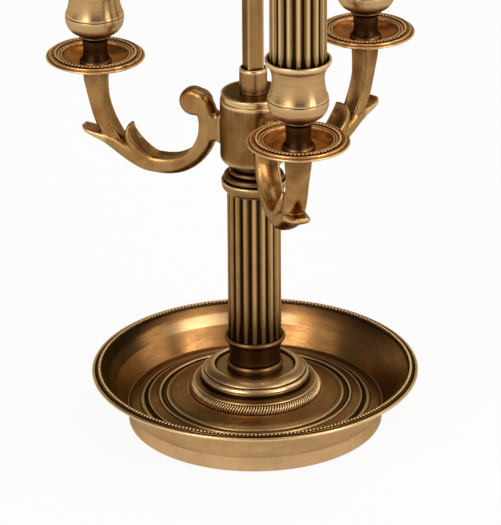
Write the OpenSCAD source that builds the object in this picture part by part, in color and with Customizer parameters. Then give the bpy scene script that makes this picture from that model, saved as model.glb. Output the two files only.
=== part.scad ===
// Bouillotte table lamp: a dished base, a fluted column, a drum hub with three scrolled
// candle arms, and a square stem on which a wide metal shade slides and is clamped.
// Millimetres, +Z up, origin at the centre of the face that the lamp stands on.

/* [Base dish] */
// Radius of the upright band that the dish stands on
foot_r = 97.4; // [85:0.5:110]
// Outer radius of the rolled rim
rim_r = 125; // [118:0.5:140]
// Height of the middle of the rolled rim
rim_z = 40.6; // [36:0.2:50]
// Radius of the roll along the rim
lip_r = 1.3; // [0.9:0.05:1.8]
// Height of the dish's floor under the foot, on its upper side
floor_z = 24.2; // [22:0.2:30]
// How far the floor falls from the foot to the well at the wall
floor_fall = 10; // [4:0.2:11]
// Radius of the raised ring on the floor
floor_ring_r = 73.2; // [71:0.2:76]
// Radius of the step outside that ring
floor_step_r = 82; // [80:0.2:85]
// Radius where the floor turns up into the wall
well_r = 97.8; // [92:0.2:102]
// How far the wall flares: its middle lies inside a straight cone by about half of this
wall_flare = 1.2; // [0:0.1:3]
// Thickness of the spun sheet
sheet_t = 1.4; // [1:0.1:2]
// Gap between the rolled rim and the row of beads inside it
bead_gap = 1.75; // [1.2:0.05:3]
// Radius of one bead on the rim
bead_r = 1.25; // [0.8:0.05:1.4]
// Height of the beads' seat above the middle of the rolled rim
bead_lift = 1.7; // [1:0.1:2.5]
// Gap between the band's lower edge and the table
band_lift = 0.8; // [0.4:0.1:1.2]

/* [Base weight and felt] */
// Thickness of the felt
felt_t = 1.5; // [1:0.1:2.4]
// Gap between the felt and the band around it
felt_gap = 0.6; // [0.3:0.1:2]
// Gap between the cast iron weight and the band around it
weight_gap = 6; // [5:0.5:20]
// Thickness of the weight
weight_t = 8; // [5:0.5:11]
// Radius of the weight's boss under the dish
weight_boss_r = 24; // [18:0.5:34]

/* [Foot and rope ring] */
// Outer radius of the rope ring
rope_r = 50.6; // [50:0.2:56]
// Height of the rope ring
rope_h = 6.4; // [5:0.2:8]
// Radius of the fillet above the rope ring
fillet_r = 47.6; // [46.5:0.2:49]
// Radius of the big torus of the foot
torus_r = 41.8; // [40.5:0.1:43]
// Radius of the upper ring of the foot
ring_r = 38.8; // [37:0.1:40]
// Height of the upper ring above the dish's floor
foot_h = 21; // [20:0.2:24]
// Radius of the well inside the upper ring
foot_well_r = 31; // [27:0.2:32]
// Depth of that well
foot_well_d = 2.2; // [1.5:0.1:3]

/* [Column] */
// Radius of the column over its ribs
column_r = 20.5; // [19.8:0.1:21.2]
// Length of the column that shows between socket and capital
column_len = 119.4; // [80:1:200]
// Number of flutes
flutes = 18; // [12:1:24]
// Radius of the cutter that makes each flute
flute_r = 1.9; // [1.6:0.1:3]
// Depth of each flute
flute_d = 1.4; // [0.8:0.1:2.2]
// Radius of the hollow in the column
column_bore_r = 16.3; // [12:0.1:16.8]
// Radius of the socket's collar at the column's foot
collar_ring_r = 23.5; // [23:0.1:25]
// Radius of the socket's waist
socket_waist_r = 19.2; // [18.5:0.1:20.5]
// Radius of the socket's lower torus
socket_torus_r = 21.6; // [20.5:0.1:24]
// Height of the socket
socket_h = 27; // [24:0.5:34]
// Depth that the column sinks into its socket
socket_d = 6; // [4:0.5:8]
// Largest radius of the capital
capital_r = 24.7; // [24:0.1:26]
// Height of the capital
capital_h = 23.6; // [22:0.5:28]
// Length of the capital's spigot in the column
spigot_h = 6; // [4:0.5:10]

/* [Hub] */
// Radius of the hub
hub_r = 25.1; // [25:0.1:30]
// Height of the hub without its lid
hub_h = 50.8; // [48:0.2:60]
// Thickness of the hub's wall
hub_wall = 3; // [2.4:0.1:3.6]
// Thickness of the hub's floor
hub_floor = 5; // [4:0.5:6]
// Thickness of the lid
lid_t = 5.2; // [4:0.2:7]
// Height of the arm screws above the hub's foot
arm_screw_h = 24; // [24:0.5:28]

/* [Stem] */
// Width of the square stem
stem_w = 12.7; // [11:0.1:13.5]
// Height of the stem above the lid
stem_len = 372; // [350:1:420]
// Direction in degrees that one face of the stem looks in
stem_turn = 291; // [280:1:300]
// Radius of the round collar at the stem's foot
stem_collar_r = 10.5; // [10:0.1:12]
// Height of that collar
stem_collar_h = 19.8; // [15:0.2:26]
// Depth that the stem sinks into the collar
stem_seat_d = 14; // [8:0.5:14.5]

/* [Arms] */
// Distance from the lamp's axis to each candle's axis
arm_reach = 127.7; // [118:0.2:134]
// Height of the pan seat above the arm screw
arm_rise = 36; // [34:0.5:44]
// Depth of the arm's lowest point below the arm screw
arm_drop = 45.1; // [40:0.5:48]
// Direction in degrees of the arm on the right
turn_right = 47.5; // [30:0.5:60]
// Direction in degrees of the arm on the left
turn_left = 158.5; // [150:0.5:180]
// Direction in degrees of the arm at the front
turn_front = 284.5; // [270:0.5:300]
// Half of the arm's width
arm_hw = 9; // [8:0.1:10]
// Radius of the scroll beside the hub
scroll_r = 10.5; // [9:0.1:11.5]
// Depth of the gutter along the arm's inner side
gutter_d = 2; // [0.5:0.1:2.5]

/* [Candle pans and cups] */
// Radius of the drip pan
pan_r = 37.5; // [35:0.1:40]
// Height of the pan's rim over its seat
pan_h = 7; // [6:0.1:9]
// How far the pan's raised rings stand above its rim
pan_crown = 2.6; // [1:0.1:3.5]
// How far the row of beads lies inside the pan's rim
pan_bead_in = 7.2; // [6.8:0.1:9]
// Radius of one bead on the pan
pan_bead_r = 1.1; // [0.8:0.05:1.3]
// How far the bowl's edge lies inside the row of beads
pan_bowl_in = 5; // [4.2:0.1:7]
// Height of the candle cup
cup_h = 69.3; // [62:0.2:70]
// Radius of the cup's rim
cup_rim_r = 24.2; // [23.9:0.1:26]
// Radius of the cup's belly
cup_belly_r = 22.3; // [22:0.1:25]
// Radius of the cup's neck
cup_neck_r = 9.3; // [8.5:0.1:11]

/* [Candles and bulbs] */
// Radius of the fluted candle tube over its ribs
candle_r = 20.8; // [20:0.1:21.2]
// Height of the candle tube above the cup's rim
candle_len = 88; // [80:1:120]
// Radius of the hollow in the candle tube
candle_bore_r = 17.4; // [15.5:0.1:17.6]
// Radius of the lampholder
holder_r = 13.6; // [12.5:0.1:14.5]
// Length of the lampholder
holder_h = 42; // [36:1:50]
// Radius of the bulb's screw cap
bulb_cap_r = 6.9; // [6:0.1:7]
// Radius of the bulb's glass
bulb_r = 17.5; // [14:0.5:20]
// Length of the bulb's glass
bulb_len = 84; // [70:1:100]

/* [Shade] */
// Radius of the shade's lower edge
shade_low_r = 196; // [180:1:215]
// Radius of the shade's upper edge
shade_top_r = 160; // [150:1:175]
// Height of the shade
shade_h = 142; // [130:1:160]
// Height of the shade's lower edge above the stem's foot
shade_lift = 178; // [174:1:190]
// Thickness of the shade's sheet
shade_t = 0.8; // [0.6:0.1:1.4]
// Radius of the wire rolled into the shade's edges
shade_wire_r = 2; // [1.5:0.1:3]
// Radius of the three rods that hold the shade
rod_r = 2.5; // [2:0.1:3]
// Outer radius of the sleeve on the stem
carrier_r = 13; // [12.5:0.1:15]
// Length of the sleeve
carrier_h = 34; // [26:1:40]
// Direction in degrees of the first of those rods
rod_turn = 105; // [90:1:120]
// Height of the rods above the sleeve's foot
rod_lift = 24; // [20:0.5:29]

/* [Thumb screw and finial] */
// Radius of the thumb screw's knob
thumb_r = 9; // [7:0.2:11]
// Radius of the thumb screw's shank
thumb_shank_r = 2.95; // [2.4:0.05:3.5]
// Length of the boss that the thumb screw runs in
thumb_boss_h = 9; // [6:0.5:12]
// Height of the finial
finial_h = 52; // [40:1:70]
// Largest radius of the finial
finial_r = 12; // [9:0.2:16]

/* [Fasteners and clearances] */
// Radius of the threaded rod and of the conduits in the arms
rod_thread_r = 5; // [4.5:0.1:5.5]
// Radius of the hole through the rod and the conduits
wire_hole_r = 3.4; // [2.5:0.1:3.6]
// Radius of the arm screws
arm_screw_r = 2.9; // [2.4:0.1:3.2]
// Radius of the bolt through the lid
stem_bolt_r = 3.9; // [3:0.1:4.2]
// Radial clearance of a screw in its thread
thread_gap = 0.06; // [0.02:0.01:0.1]
// Radial clearance of a screw in a plain hole, and of a piece in its socket
slip_gap = 0.25; // [0.1:0.05:0.4]
// Gap between a moving piece and what it moves on
run_gap = 0.3; // [0.2:0.05:0.5]
// Radius of the hole for the cord in the band's bushing
cord_hole_r = 3.4; // [3:0.1:3.8]
// Height of that hole
cord_hole_z = 7; // [6.8:0.1:7.1]
// Gap between the cord's bushing and the channel for the cord in the weight
cord_channel_gap = 0.5; // [0.3:0.1:1]

/* [Hidden] */
$fn = 72;

brass = "#b08d57";
pale_brass = "#cdb182";
dark_brass = "#6b4f2c";

arm_turns = [turn_left, turn_front, turn_right];

// Levels of the stack, from the table up
floor_under_z = floor_z - sheet_t;
weight_r = foot_r - sheet_t - weight_gap;
floor_flat_r = rope_r + 1;
bead_row_r = rim_r - 2 * lip_r - bead_gap - bead_r;
pan_bead_row_r = pan_r - pan_bead_in;
pan_bowl_r = pan_bead_row_r - pan_bowl_in;
function floor_at(r) = floor_z - floor_fall * max(0, r - floor_flat_r) / (well_r - floor_flat_r);
foot_top_z = floor_z + foot_h;
socket_z = foot_top_z - foot_well_d;
socket_top_z = socket_z + socket_h;
column_z = socket_top_z - socket_d;
capital_z = socket_top_z + column_len;
hub_z = capital_z + capital_h;
lid_z = hub_z + hub_h;
stem_foot_z = lid_z + lid_t;
stem_bottom_z = stem_foot_z + stem_collar_h - stem_seat_d;
stem_top_z = stem_foot_z + stem_len;
arm_screw_z = hub_z + arm_screw_h;
pan_z = arm_screw_z + arm_rise;

// Levels of a candle, from its pan's seat up
pan_floor_t = 2.4;
cup_z = pan_z + pan_floor_t;
cup_top_z = cup_z + cup_h;
candle_seat_d = 5;
candle_z = cup_top_z - candle_seat_d;
candle_top_z = cup_top_z + candle_len;
candle_cap_t = 3;
candle_cap_lip = 1.6;
holder_top_z = candle_top_z + candle_cap_t + 2;
holder_z = holder_top_z - holder_h;
holder_bore_d = 26;
bulb_z = holder_top_z - holder_bore_d;
conduit_d = 14;
conduit_z = pan_z - conduit_d;
holder_thread_d = 8;
conduit_top_z = holder_z + holder_thread_d;

// Levels of the shade
shade_z = stem_foot_z + shade_lift;
shade_top_z = shade_z + shade_h;
rod_z = shade_top_z - shade_wire_r - rod_r;
carrier_z = rod_z - rod_lift;
thumb_z = carrier_z + rod_lift / 2 - rod_r;

// Sockets and holes
rod_hole_r = rod_thread_r + slip_gap;
hub_bore_r = hub_r - hub_wall;
hub_floor_z = hub_z + hub_floor;
nut_r = 9;
nut_t = 6;
washer_r = 11.5;
washer_t = 1.6;
nut_pocket_r = washer_r + 1.5;
nut_pocket_d = nut_t + washer_t + 0.6;
rod_foot_z = felt_t + 0.6;
lid_spigot_h = 3;
bolt_head_r = 7;
bolt_head_t = 5;
bolt_reach = 12;
finial_thread_r = 2.95;
finial_thread_d = 14;
arm_lug_hw = 7;
arm_lug_h = 12.5;
arm_screw_reach = 10;
arm_screw_head_r = 4.8;
arm_screw_head_t = 3.6;
bushing_r = cord_hole_r + 1.2;
bushing_flange_r = bushing_r + 1;
bushing_flange_t = 1.4;
bushing_tail = 3;
cord_channel_w = 2 * (bushing_r + cord_channel_gap);
thumb_knob_t = 6;

// Points of an arc about [cx, cy], from angle a0 to angle a1
function arc(cx, cy, r, a0, a1, n = 8) =
    [for (i = [0:n]) let (a = a0 + (a1 - a0) * i / n) [cx + r * cos(a), cy + r * sin(a)]];
// Points of a quadratic curve from p to q, drawn towards c
function curve(p, c, q, n = 8) =
    [for (i = [0:n]) let (t = i / n) (1 - t) * (1 - t) * p + 2 * t * (1 - t) * c + t * t * q];
// A shallow V groove in the dish's floor, met while going outwards
function groove(r, w = 0.5, d = 0.5) =
    [[r - w, floor_at(r - w)], [r, floor_at(r) - d], [r + w, floor_at(r + w)]];
// A point at a height above the dish's floor
function on_floor(r, lift = 0) = [r, floor_at(r) + lift];

// A Catmull-Rom spline through rows of numbers, at the place s along the list
function row(p, i) = p[min(max(i, 0), len(p) - 1)];
function spline(p, s) =
    let (i = min(floor(s), len(p) - 2), t = s - i,
        a = row(p, i - 1), b = row(p, i), c = row(p, i + 1), d = row(p, i + 2))
    0.5 * (2 * b + t * (c - a) + t * t * (2 * a - 5 * b + 4 * c - d)
        + t * t * t * (3 * b - a - 3 * c + d));

// Rows of an arm's members: share of the reach, share of the drop or rise, half depth,
// half width as a share of arm_hw, and gutter as a share of gutter_d
scroll_rows = [
    [0.179, 0.544, 8.4, 0.72, 0], [0.132, 0.378, 7.8, 0.80, 0], [0.111, 0.183, 7.3, 0.90, 0.3],
    [0.108, -0.020, 7.1, 0.98, 0.7], [0.122, -0.220, 7.2, 1, 1], [0.161, -0.412, 7.4, 1, 1],
    [0.231, -0.601, 7.5, 1, 1], [0.319, -0.73, 7.8, 1, 1], [0.413, -0.792, 8, 1, 1],
    [0.506, -0.802, 8, 1, 1], [0.598, -0.783, 8.0, 1, 0.6], [0.686, -0.712, 7.4, 1, 0],
    [0.769, -0.612, 7.0, 1, 0], [0.852, -0.508, 6.2, 0.98, 0], [0.935, -0.437, 4.2, 0.95, 0.6],
    [1.018, -0.388, 2.6, 0.88, 0.6], [1.095, -0.352, 1.4, 0.64, 0.2]];
stalk_rows = [
    [0.818, -0.552, 7.0, 0.84, 0], [0.871, -0.386, 7.6, 0.87, 0], [0.920, -0.186, 7.8, 0.88, 0],
    [0.951, -0.009, 7.8, 0.88, 0], [0.974, 0.225, 7.8, 0.89, 0], [0.989, 0.475, 8.4, 0.96, 0],
    [0.998, 0.725, 9.3, 1.04, 0], [1, 1.06, 9.9, 1.1, 0]];
leaf_rows = [
    [0.598, -0.707, 6.0, 0.95, 0], [0.662, -0.585, 5.8, 0.97, 0.6], [0.711, -0.463, 4.8, 0.95, 0.9],
    [0.735, -0.319, 3.2, 0.86, 0.7], [0.725, -0.175, 1.2, 0.55, 0.1]];
scroll_centre = [0.22, 0.5];
function arm_x(u) = hub_r + u * (arm_reach - hub_r);
function arm_y(w) = arm_screw_z + w * (w < 0 ? arm_drop : arm_rise);
function arm_rows(p) = [for (q = p) [arm_x(q[0]), arm_y(q[1]), q[2], q[3] * arm_hw, q[4] * gutter_d]];

// Points of one ring of a member: a rounded box across the path, with its inner side hollowed
arm_sides = 12;
squareness = 0.62;
function ring(c, t) =
    let (m = [-t[1], t[0]] / norm(t))
    [for (j = [0:arm_sides - 1])
        let (a = 360 * (j + 0.5) / arm_sides,
            v = sign(sin(a)) * pow(abs(sin(a)), squareness),
            u = sign(cos(a)) * pow(abs(cos(a)), squareness) * c[2]
                - (cos(a) > 0 ? c[4] * (1 - v * v) : 0))
        [c[0] + m[0] * u, v * c[3], c[1] + m[1] * u]];

// One member of an arm, swept along its rows
module member(rows, steps) {
    p = arm_rows(rows);
    last = len(p) - 1;
    rings = [for (i = [0:steps])
        let (s = last * i / steps, e = 0.02,
            a = spline(p, max(s - e, 0)), b = spline(p, min(s + e, last)))
        ring(spline(p, s), [b[0] - a[0], b[1] - a[1]])];
    n = arm_sides;
    polyhedron(
        points = [for (r = rings) each r],
        faces = [
            [for (j = [n - 1:-1:0]) j],
            for (i = [0:steps - 1], j = [0:n - 1])
                let (k = (j + 1) % n, o = i * n)
                each [[o + j, o + n + k, o + n + j], [o + j, o + k, o + n + k]],
            [for (j = [0:n - 1]) steps * n + j]]);
}

module turned(points) {
    rotate_extrude() polygon(points);
}

module at_candle(turn) {
    rotate([0, 0, turn]) translate([arm_reach, 0, 0]) children();
}

module fluted_disc(r, bore_r) {
    difference() {
        circle(r);
        circle(bore_r);
        for (i = [0:flutes - 1])
            rotate([0, 0, 270 + 360 * (i + 0.5) / flutes])
                translate([r + flute_r - flute_d, 0])
                    circle(flute_r, $fn = 32);
    }
}

// A hexagon nut with its hole
module nut(r, t, hole_r) {
    difference() {
        cylinder(r = r, h = t, $fn = 6);
        translate([0, 0, -1]) cylinder(r = hole_r, h = t + 2);
    }
}

module felt_pad() {
    color("#3a4a34")
        cylinder(r = foot_r - sheet_t - felt_gap, h = felt_t);
}

module base_weight() {
    color("#3c3c3e")
        difference() {
            union() {
                translate([0, 0, felt_t]) cylinder(r = weight_r, h = weight_t);
                translate([0, 0, felt_t]) cylinder(r = weight_boss_r, h = floor_under_z - felt_t);
            }
            translate([0, 0, -1]) cylinder(r = rod_hole_r, h = floor_z);
            translate([0, 0, felt_t - 1]) cylinder(r = nut_pocket_r, h = nut_pocket_d + 1);
            translate([-cord_channel_w / 2, 0, felt_t - 1]) cube([cord_channel_w, foot_r, weight_t + 2]);
        }
}

// The dish's upper line from the axis out to the rim
bead_seat_z = rim_z + bead_lift;
bead_seat_in = bead_row_r - bead_r - 0.5;
bead_seat_out = bead_row_r + bead_r + 0.4;
wall_bow = [(well_r + bead_seat_in) / 2 - wall_flare,
    (floor_at(well_r) + bead_seat_z) / 2 + wall_flare];
function dish_upper() = concat(
    [[rod_hole_r, floor_z], on_floor(floor_flat_r)],
    groove(floor_ring_r - 8.8), groove(floor_ring_r - 7.4),
    [on_floor(floor_ring_r - 5.2), on_floor(floor_ring_r - 4.4, -0.6),
     on_floor(floor_ring_r - 1.6, -0.6)],
    arc(floor_ring_r, floor_at(floor_ring_r) - 0.1, 1.1, 180, 20, 6),
    [on_floor(floor_step_r - 1), on_floor(floor_step_r, 0.3), on_floor(floor_step_r + 0.8, -0.6),
     on_floor(floor_step_r + 3.4, -0.6), on_floor(floor_step_r + 4)],
    groove(floor_step_r + 7), groove(well_r - 1.4),
    curve([well_r, floor_at(well_r)], wall_bow, [bead_seat_in - 0.4, bead_seat_z - 1], 14),
    [[bead_seat_in, bead_seat_z], [bead_seat_out, bead_seat_z], [bead_seat_out + 0.7, bead_seat_z - 0.8]],
    arc(rim_r - lip_r, rim_z, lip_r, 150, -90, 10));

// The sheet's underside from the rim in to the band
function dish_under() =
    let (foot_z = floor_at(well_r) - sheet_t, out_r = max(foot_r, well_r + sheet_t))
    concat(
        [[bead_seat_out + 0.6, bead_seat_z - sheet_t - 1], [bead_seat_in + 2, bead_seat_z - sheet_t - 0.6]],
        curve([bead_seat_in + 1.2, bead_seat_z - sheet_t - 1.6], wall_bow + [sheet_t, -sheet_t],
            [out_r, foot_z + 0.8], 12),
        [[foot_r, foot_z]]);

module base_dish() {
    inner_r = foot_r - sheet_t;
    turn_r = min(inner_r, well_r) - 0.5;
    color(brass)
        difference() {
            turned(concat(
                dish_upper(), dish_under(),
                [[foot_r, band_lift], [inner_r, band_lift], [inner_r, floor_at(turn_r) - sheet_t],
                 [turn_r, floor_at(turn_r) - sheet_t], [floor_flat_r, floor_under_z],
                 [rod_hole_r, floor_under_z]]));
            translate([0, 0, cord_hole_z]) rotate([-90, 0, 0])
                cylinder(r = bushing_r + slip_gap, h = foot_r + 5);
        }
}

module rim_beads() {
    color(pale_brass)
        turned(arc(bead_row_r, bead_seat_z, bead_r, 0, 180, 10));
}

module foot_plinth() {
    z = floor_z;
    inner_r = rope_r - 7.2;
    color(brass)
        turned(concat(
            [[rod_hole_r, z], [inner_r, z], [inner_r, z + rope_h], [fillet_r - 0.4, z + rope_h]],
            arc(fillet_r - 0.7, z + rope_h + 0.7, 0.7, -60, 90, 5),
            curve([fillet_r - 2, z + rope_h + 1.5], [torus_r + 0.6, z + rope_h + 1.8],
                [torus_r - 0.8, z + 9.6], 5),
            arc(torus_r - 3.3, z + 13.1, 3.4, -50, 60, 8),
            [[ring_r - 0.4, z + 16], [ring_r, z + 16.6], [ring_r, z + 17.3]],
            curve([ring_r - 0.6, z + 17.8], [ring_r - 3.2, foot_top_z - 0.6],
                [foot_well_r + 1.2, foot_top_z], 6),
            [[foot_well_r + 0.4, foot_top_z], [foot_well_r, socket_z], [rod_hole_r, socket_z]]));
}

module rope_ring() {
    color(pale_brass)
        turned(concat(
            [[rope_r - 7, floor_z], [rope_r - 0.8, floor_z]],
            curve([rope_r, floor_z + 1], [rope_r + 0.2, floor_z + 4.6],
                [fillet_r - 0.6, floor_z + rope_h - 0.1], 7),
            [[rope_r - 7, floor_z + rope_h - 0.1]]));
}

module column_socket() {
    z = socket_z;
    top = socket_top_z;
    color(dark_brass)
        turned(concat(
            [[rod_hole_r, z], [socket_torus_r - 1.2, z]],
            arc(socket_torus_r - 3, z + 3.2, 3, -65, 75, 8),
            curve([socket_waist_r + 0.4, z + 6.8], [socket_waist_r - 0.6, z + 13],
                [collar_ring_r - 2.2, top - 4.4], 8),
            arc(collar_ring_r - 1.9, top - 2, 1.9, -80, 90, 9),
            [[column_r + slip_gap, top], [column_r + slip_gap, column_z], [rod_hole_r, column_z]]));
}

module fluted_column() {
    color(brass)
        translate([0, 0, column_z])
            linear_extrude(capital_z - column_z) fluted_disc(column_r, column_bore_r);
}

module capital() {
    z = capital_z;
    c = capital_r;
    color(dark_brass)
        turned(concat(
            [[rod_hole_r, z - spigot_h], [column_bore_r - slip_gap, z - spigot_h],
             [column_bore_r - slip_gap, z], [c - 3.6, z], [c - 3.2, z + 1.6], [c - 1.8, z + 2.3],
             [c - 1.2, z + 3]],
            curve([c - 1.1, z + 3.3], [c, z + 6.4], [c - 0.1, z + 9.1], 5),
            [[c - 0.7, z + 9.7]],
            arc(c - 4.1, z + 12, 2.3, -65, 62, 6),
            [[c - 6, z + 14.3]],
            arc(c - 8, z + 16.3, 1.9, -60, 72, 6),
            [[c - 9, z + 18.7], [c - 9.2, hub_z], [rod_hole_r, hub_z]]));
}

module hub_body() {
    edge = 6;
    color(brass)
        difference() {
            turned(concat(
                [[rod_hole_r, hub_z], [hub_r - edge, hub_z]],
                arc(hub_r - edge, hub_z + edge, edge, -90, 0, 8),
                [[hub_r, lid_z], [hub_bore_r, lid_z], [hub_bore_r, hub_floor_z + 1],
                 [hub_bore_r - 1, hub_floor_z], [rod_hole_r, hub_floor_z]]));
            for (turn = arm_turns)
                rotate([0, 0, turn]) translate([0, 0, arm_screw_z]) rotate([0, 90, 0])
                    cylinder(r = arm_screw_r + slip_gap, h = hub_r + 2);
        }
}

module hub_lid() {
    z = stem_foot_z;
    r = hub_r - 0.7;
    color(pale_brass)
        turned([[stem_bolt_r + slip_gap, lid_z - lid_spigot_h],
            [hub_bore_r - slip_gap, lid_z - lid_spigot_h], [hub_bore_r - slip_gap, lid_z],
            [r - 0.5, lid_z], [r - 0.5, lid_z + 0.6], [r, lid_z + 1],
            [r, z - 0.8], [r - 0.8, z], [stem_bolt_r + slip_gap, z]]);
}

module terminal_block() {
    block = [9, 20, 11];
    way_r = 1.6;
    color("#e8e4d6")
        rotate([0, 0, (turn_left + turn_front) / 2])
            translate([nut_r + 1, -block[1] / 2, hub_floor_z])
                difference() {
                    cube(block);
                    for (i = [-1:1])
                        translate([-1, block[1] / 2 + i * 6, 5]) rotate([0, 90, 0])
                            cylinder(r = way_r, h = block[0] + 2);
                }
}

module stem_collar() {
    z = stem_foot_z;
    r = stem_collar_r;
    color(brass)
        difference() {
            turned([[0, z], [r - 0.4, z], [r, z + 0.4], [r, z + stem_collar_h - 1],
                [r - 0.6, z + stem_collar_h - 0.2], [r - 1, z + stem_collar_h],
                [0, z + stem_collar_h]]);
            translate([0, 0, z - 1]) cylinder(r = stem_bolt_r + slip_gap, h = stem_collar_h);
            translate([0, 0, stem_bottom_z]) rotate([0, 0, stem_turn])
                translate([-stem_w / 2 - slip_gap / 2, -stem_w / 2 - slip_gap / 2, 0])
                    cube([stem_w + slip_gap, stem_w + slip_gap, stem_seat_d + 1]);
        }
}

module stem_bar() {
    color(brass)
        difference() {
            rotate([0, 0, stem_turn]) translate([-stem_w / 2, -stem_w / 2, stem_bottom_z])
                cube([stem_w, stem_w, stem_top_z - stem_bottom_z]);
            translate([0, 0, stem_bottom_z - 1])
                cylinder(r = stem_bolt_r + thread_gap, h = bolt_reach + 3);
            translate([0, 0, stem_top_z - finial_thread_d - 1])
                cylinder(r = finial_thread_r + thread_gap, h = finial_thread_d + 2);
        }
}

module stem_bolt() {
    color("#8d8d90")
        translate([0, 0, lid_z - lid_spigot_h - bolt_head_t]) {
            cylinder(r = bolt_head_r, h = bolt_head_t, $fn = 6);
            cylinder(r = stem_bolt_r,
                h = stem_bottom_z + bolt_reach - lid_z + lid_spigot_h + bolt_head_t);
        }
}

module centre_rod() {
    color("#8d8d90")
        difference() {
            translate([0, 0, rod_foot_z])
                cylinder(r = rod_thread_r, h = hub_floor_z + nut_t + 2 - rod_foot_z);
            translate([0, 0, rod_foot_z - 1])
                cylinder(r = wire_hole_r, h = hub_floor_z + nut_t + 6);
        }
}

module rod_nuts() {
    color("#8d8d90") {
        translate([0, 0, felt_t + nut_pocket_d - washer_t - nut_t])
            nut(nut_r, nut_t, rod_thread_r + thread_gap);
        translate([0, 0, hub_floor_z]) nut(nut_r, nut_t, rod_thread_r + thread_gap);
    }
}

module rod_washer() {
    color("#a5a5a8")
        translate([0, 0, felt_t + nut_pocket_d - washer_t])
            difference() {
                cylinder(r = washer_r, h = washer_t);
                translate([0, 0, -1]) cylinder(r = rod_hole_r, h = washer_t + 2);
            }
}

module cord_bushing() {
    in_y = foot_r - sheet_t - bushing_tail;
    color("#1d1a17")
        translate([0, 0, cord_hole_z]) rotate([-90, 0, 0])
            difference() {
                union() {
                    translate([0, 0, in_y]) cylinder(r = bushing_r, h = foot_r + bushing_flange_t - in_y);
                    translate([0, 0, foot_r]) cylinder(r = bushing_flange_r, h = bushing_flange_t);
                }
                translate([0, 0, in_y - 1])
                    cylinder(r = cord_hole_r, h = bushing_tail + sheet_t + bushing_flange_t + 2);
            }
}

module arm_screws() {
    color("#8d8d90")
        for (turn = arm_turns)
            rotate([0, 0, turn]) translate([0, 0, arm_screw_z]) rotate([0, 90, 0]) {
                translate([0, 0, hub_bore_r - arm_screw_head_t - 0.6])
                    cylinder(r = arm_screw_head_r, h = arm_screw_head_t);
                translate([0, 0, hub_bore_r - 1])
                    cylinder(r = arm_screw_r, h = hub_wall + arm_screw_reach);
            }
}

// The rounded end of the scroll, turned about the arm's cross direction
module scroll_end() {
    hw = 0.72 * arm_hw;
    edge = 3;
    translate([arm_x(scroll_centre[0]), 0, arm_y(scroll_centre[1])]) rotate([90, 0, 0])
        rotate_extrude() polygon(concat(
            [[0, -hw]], arc(scroll_r - edge, edge - hw, edge, -90, 0, 5),
            arc(scroll_r - edge, hw - edge, edge, 0, 90, 5), [[0, hw]]));
}

module arm(turn) {
    color(brass)
        rotate([0, 0, turn])
            difference() {
                union() {
                    member(scroll_rows, 30);
                    member(stalk_rows, 9);
                    member(leaf_rows, 7);
                    scroll_end();
                    translate([hub_r - 3, -arm_lug_hw, arm_screw_z - arm_lug_h])
                        cube([9, 2 * arm_lug_hw, 2 * arm_lug_h]);
                }
                cylinder(r = hub_r + thread_gap, h = 2 * lid_z);
                translate([0, 0, arm_screw_z]) rotate([0, 90, 0])
                    cylinder(r = arm_screw_r + thread_gap, h = hub_r + arm_screw_reach);
                translate([arm_reach, 0, conduit_z])
                    cylinder(r = rod_thread_r + thread_gap, h = conduit_d + 1);
                translate([0, -2 * arm_hw, pan_z]) cube([2 * arm_reach, 4 * arm_hw, 2 * arm_rise]);
            }
}

module pan(turn) {
    z = pan_z + pan_h;
    crown_z = z + pan_crown;
    b = pan_bowl_r;
    lip = 0.9;
    color(brass)
        at_candle(turn) turned(concat(
            [[rod_hole_r, pan_z], [10.4, pan_z]],
            curve([12, pan_z + 0.2], [26, z - 1.4], [pan_r - 1.2, z - 0.9], 8),
            arc(pan_r - lip, z, lip, -60, 100, 7),
            [[pan_r - 1.8, z + 0.9], [pan_r - 2.2, z + 0.9]],
            arc(pan_r - 3.2, crown_z - 0.8, 0.8, 0, 170, 5),
            [[pan_bead_row_r + pan_bead_r + 0.2, crown_z - 0.6]],
            arc(pan_bead_row_r, crown_z - 0.3, pan_bead_r, 0, 180, 7),
            [[b + 2, crown_z - 0.9], [b + 1.6, crown_z - 1.5]],
            arc(b + 0.7, crown_z - 1.5, 0.8, 20, 180, 5),
            curve([b - 0.4, crown_z - 2.4], [b - 5, cup_z + 0.4], [13, cup_z], 7),
            [[rod_hole_r, cup_z]]));
}

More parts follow.
